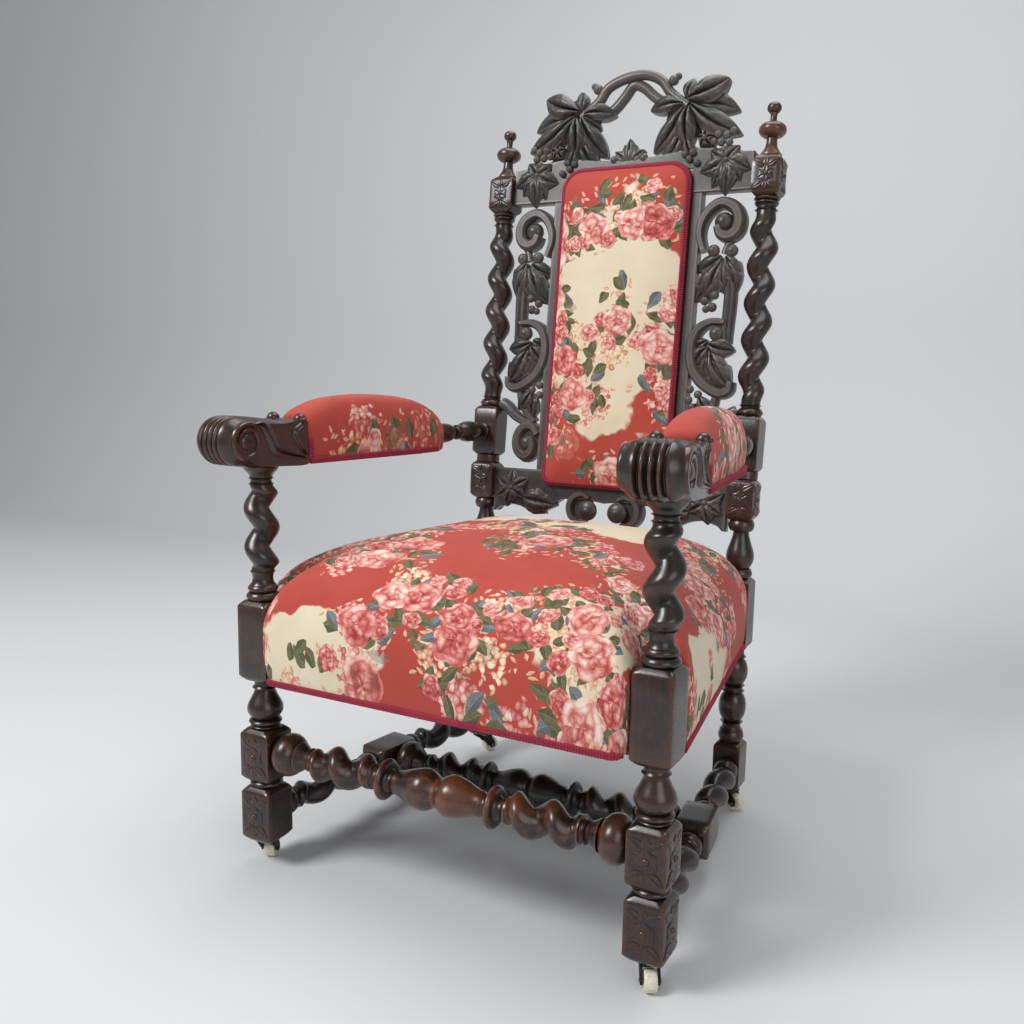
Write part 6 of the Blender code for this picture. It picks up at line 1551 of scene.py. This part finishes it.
def make_wheel(label):
    """Turned ceramic wheel with a rounded tread, on its axle."""
    joint = joints["roll_" + label]
    centre, axis = Vector(joint["pos_m"]), Vector(joint["axis"])
    up = Vector((0, 0, 1))
    side = axis.cross(up)
    half, bore = WHEEL_WIDTH / 2, AXLE_RADIUS + FIT
    right = [(half * wide, WHEEL_RADIUS * tall) for wide, tall in WHEEL_PROFILE]
    profile = curve([(-half, bore)] + [(-x, r) for x, r in right] + [(0, WHEEL_RADIUS)] + right[::-1]
                    + [(half, bore)], 40)
    rows = []
    for t in np.linspace(0, 2 * math.pi, 48):
        spoke = up * math.cos(t) + side * math.sin(t)
        rows.append([tuple(centre + axis * x + spoke * r) for x, r in profile])
    name = "castor_wheel_" + label
    shape = Shape().grid(rows, caps=False)
    piece(name + "_turned", shape, CERAMIC, [name], "wheel_" + label)


# Chair

def dress_frame():
    """Finishes of the solids that stay in view."""
    for name, item in frame["nodes"].items():
        finish = TURNED_OAK
        if name.startswith(("castor_plate", "castor_horn")):
            finish = IRON
        elif name.startswith(("castor_axle", "seat_spring")):
            finish = STEEL
        item.data.materials.clear()
        item.data.materials.append(finish)


def make_chair():
    """All the shown pieces."""
    dress_frame()
    for label, side in SIDES.items():
        make_front_leg(f"front_leg_{label}", side)
        make_back_post(f"back_post_{label}", side)
        make_finial(f"finial_{label}", side)
        make_side_stretcher(f"side_stretcher_{label}", side)
        make_arm(f"arm_{label}", side)
        make_arm_pad(f"arm_pad_{label}", side)
    length = 2 * (FRONT_HALF - LEG_HALF - FIT)
    make_crosspiece("front_stretcher", length, 0.0, FRONT_STRETCHER_Z, WORN_OAK)
    inset = (MIDDLE_BLOCK_HALF + FIT) / math.cos(SIDE_ANGLE) + DOWEL * math.tan(SIDE_ANGLE)
    reach = (FRONT_HALF + BACK_HALF) / 2 - inset
    make_crosspiece("cross_stretcher", 2 * reach, DEPTH / 2, SIDE_STRETCHER_Z, TURNED_OAK)
    make_crest_rail()
    make_lower_back_rail()
    right = side_carving()
    piece("carved_side_left_pierced", right.flipped(), CARVED_OAK, ["carved_side_left"])
    piece("carved_side_right_pierced", right, CARVED_OAK, ["carved_side_right"])
    make_seat()
    make_back_pad()
    make_outside_back()
    make_braids()
    make_bottom_cloth()
    make_webbing()
    for label in ("front_left", "front_right", "back_left", "back_right"):
        make_wheel(label)


# Stage

FLOOR_FRONT, FLOOR_HALF, BEND_START, BEND_RADIUS, WALL_TOP = -4.0, 5.0, 1.6, 0.9, 4.5
LAMPS = [                       # name, place, size, power
    ("key", (-1.7, -2.4, 2.9), 1.5, 105), ("fill", (2.4, -1.9, 1.5), 2.0, 20),
    ("top", (0.2, 0.4, 3.0), 2.2, 40)]
LAMP_TARGET = (0, 0, 0.55)
SKY_COLOUR, SKY_STRENGTH = (0.80, 0.82, 0.85, 1), 0.38


def make_stage():
    """Pale floor that curves up into a backdrop, three soft lamps and a pale sky."""
    profile = [(FLOOR_FRONT, 0.0), (BEND_START, 0.0)]
    profile += [(BEND_START + BEND_RADIUS * math.sin(t), BEND_RADIUS - BEND_RADIUS * math.cos(t))
                for t in np.radians(np.linspace(8, 90, 12))]
    profile.append((BEND_START + BEND_RADIUS, WALL_TOP))
    shape = Shape().grid([[(x, y, z) for x in np.linspace(-FLOOR_HALF, FLOOR_HALF, 3)] for y, z in profile],
                         caps=False, wrap=False)
    mesh = bpy.data.meshes.new("backdrop")
    mesh.from_pydata(np.vstack(shape.points), [], shape.faces)
    mesh.shade_smooth()
    paint = Paint("pale_backdrop")
    tone = paint.noise(paint.place(), 0.6, 2.0)
    mesh.materials.append(paint.finish(Base_Color=paint.mix(tone, (0.60, 0.61, 0.62), (0.66, 0.67, 0.68)),
                                       Roughness=0.9, Specular_IOR_Level=0.1))
    put("backdrop", mesh)
    for name, spot, size, power in LAMPS:
        lamp = bpy.data.lights.new(name, "AREA")
        lamp.shape, lamp.size, lamp.energy = "DISK", size, power
        item = put(name, lamp)
        item.location = spot
        item.rotation_euler = (Vector(LAMP_TARGET) - Vector(spot)).to_track_quat("-Z", "Y").to_euler()
    world = bpy.data.worlds.new("studio")
    world.use_nodes = True
    sky = world.node_tree.nodes["Background"].inputs
    sky["Color"].default_value, sky["Strength"].default_value = SKY_COLOUR, SKY_STRENGTH
    bpy.context.scene.world = world


def make_camera():
    """Camera at the photograph's viewing angle."""
    yaw, pitch, roll = CAMERA_YAW, CAMERA_PITCH, CAMERA_ROLL
    ahead = Vector((-math.sin(yaw) * math.cos(pitch), math.cos(yaw) * math.cos(pitch), math.sin(pitch)))
    level = ahead.cross(Vector((0, 0, 1))).normalized()
    upward = level.cross(ahead)
    right = level * math.cos(roll) + upward * math.sin(roll)
    up = upward * math.cos(roll) - level * math.sin(roll)
    lens = bpy.data.cameras.new("camera")
    lens.lens, lens.sensor_width = CAMERA_LENS, CAMERA_SENSOR
    camera = put("camera", lens)
    turn = Matrix((right, up, -ahead)).transposed().to_4x4()
    turn.translation = Vector(row(*CAMERA_PLACE))
    camera.matrix_world = turn
    bpy.context.scene.camera = camera


make_camera()
make_chair()
make_stage()
bpy.context.scene.view_settings.view_transform = "Standard"
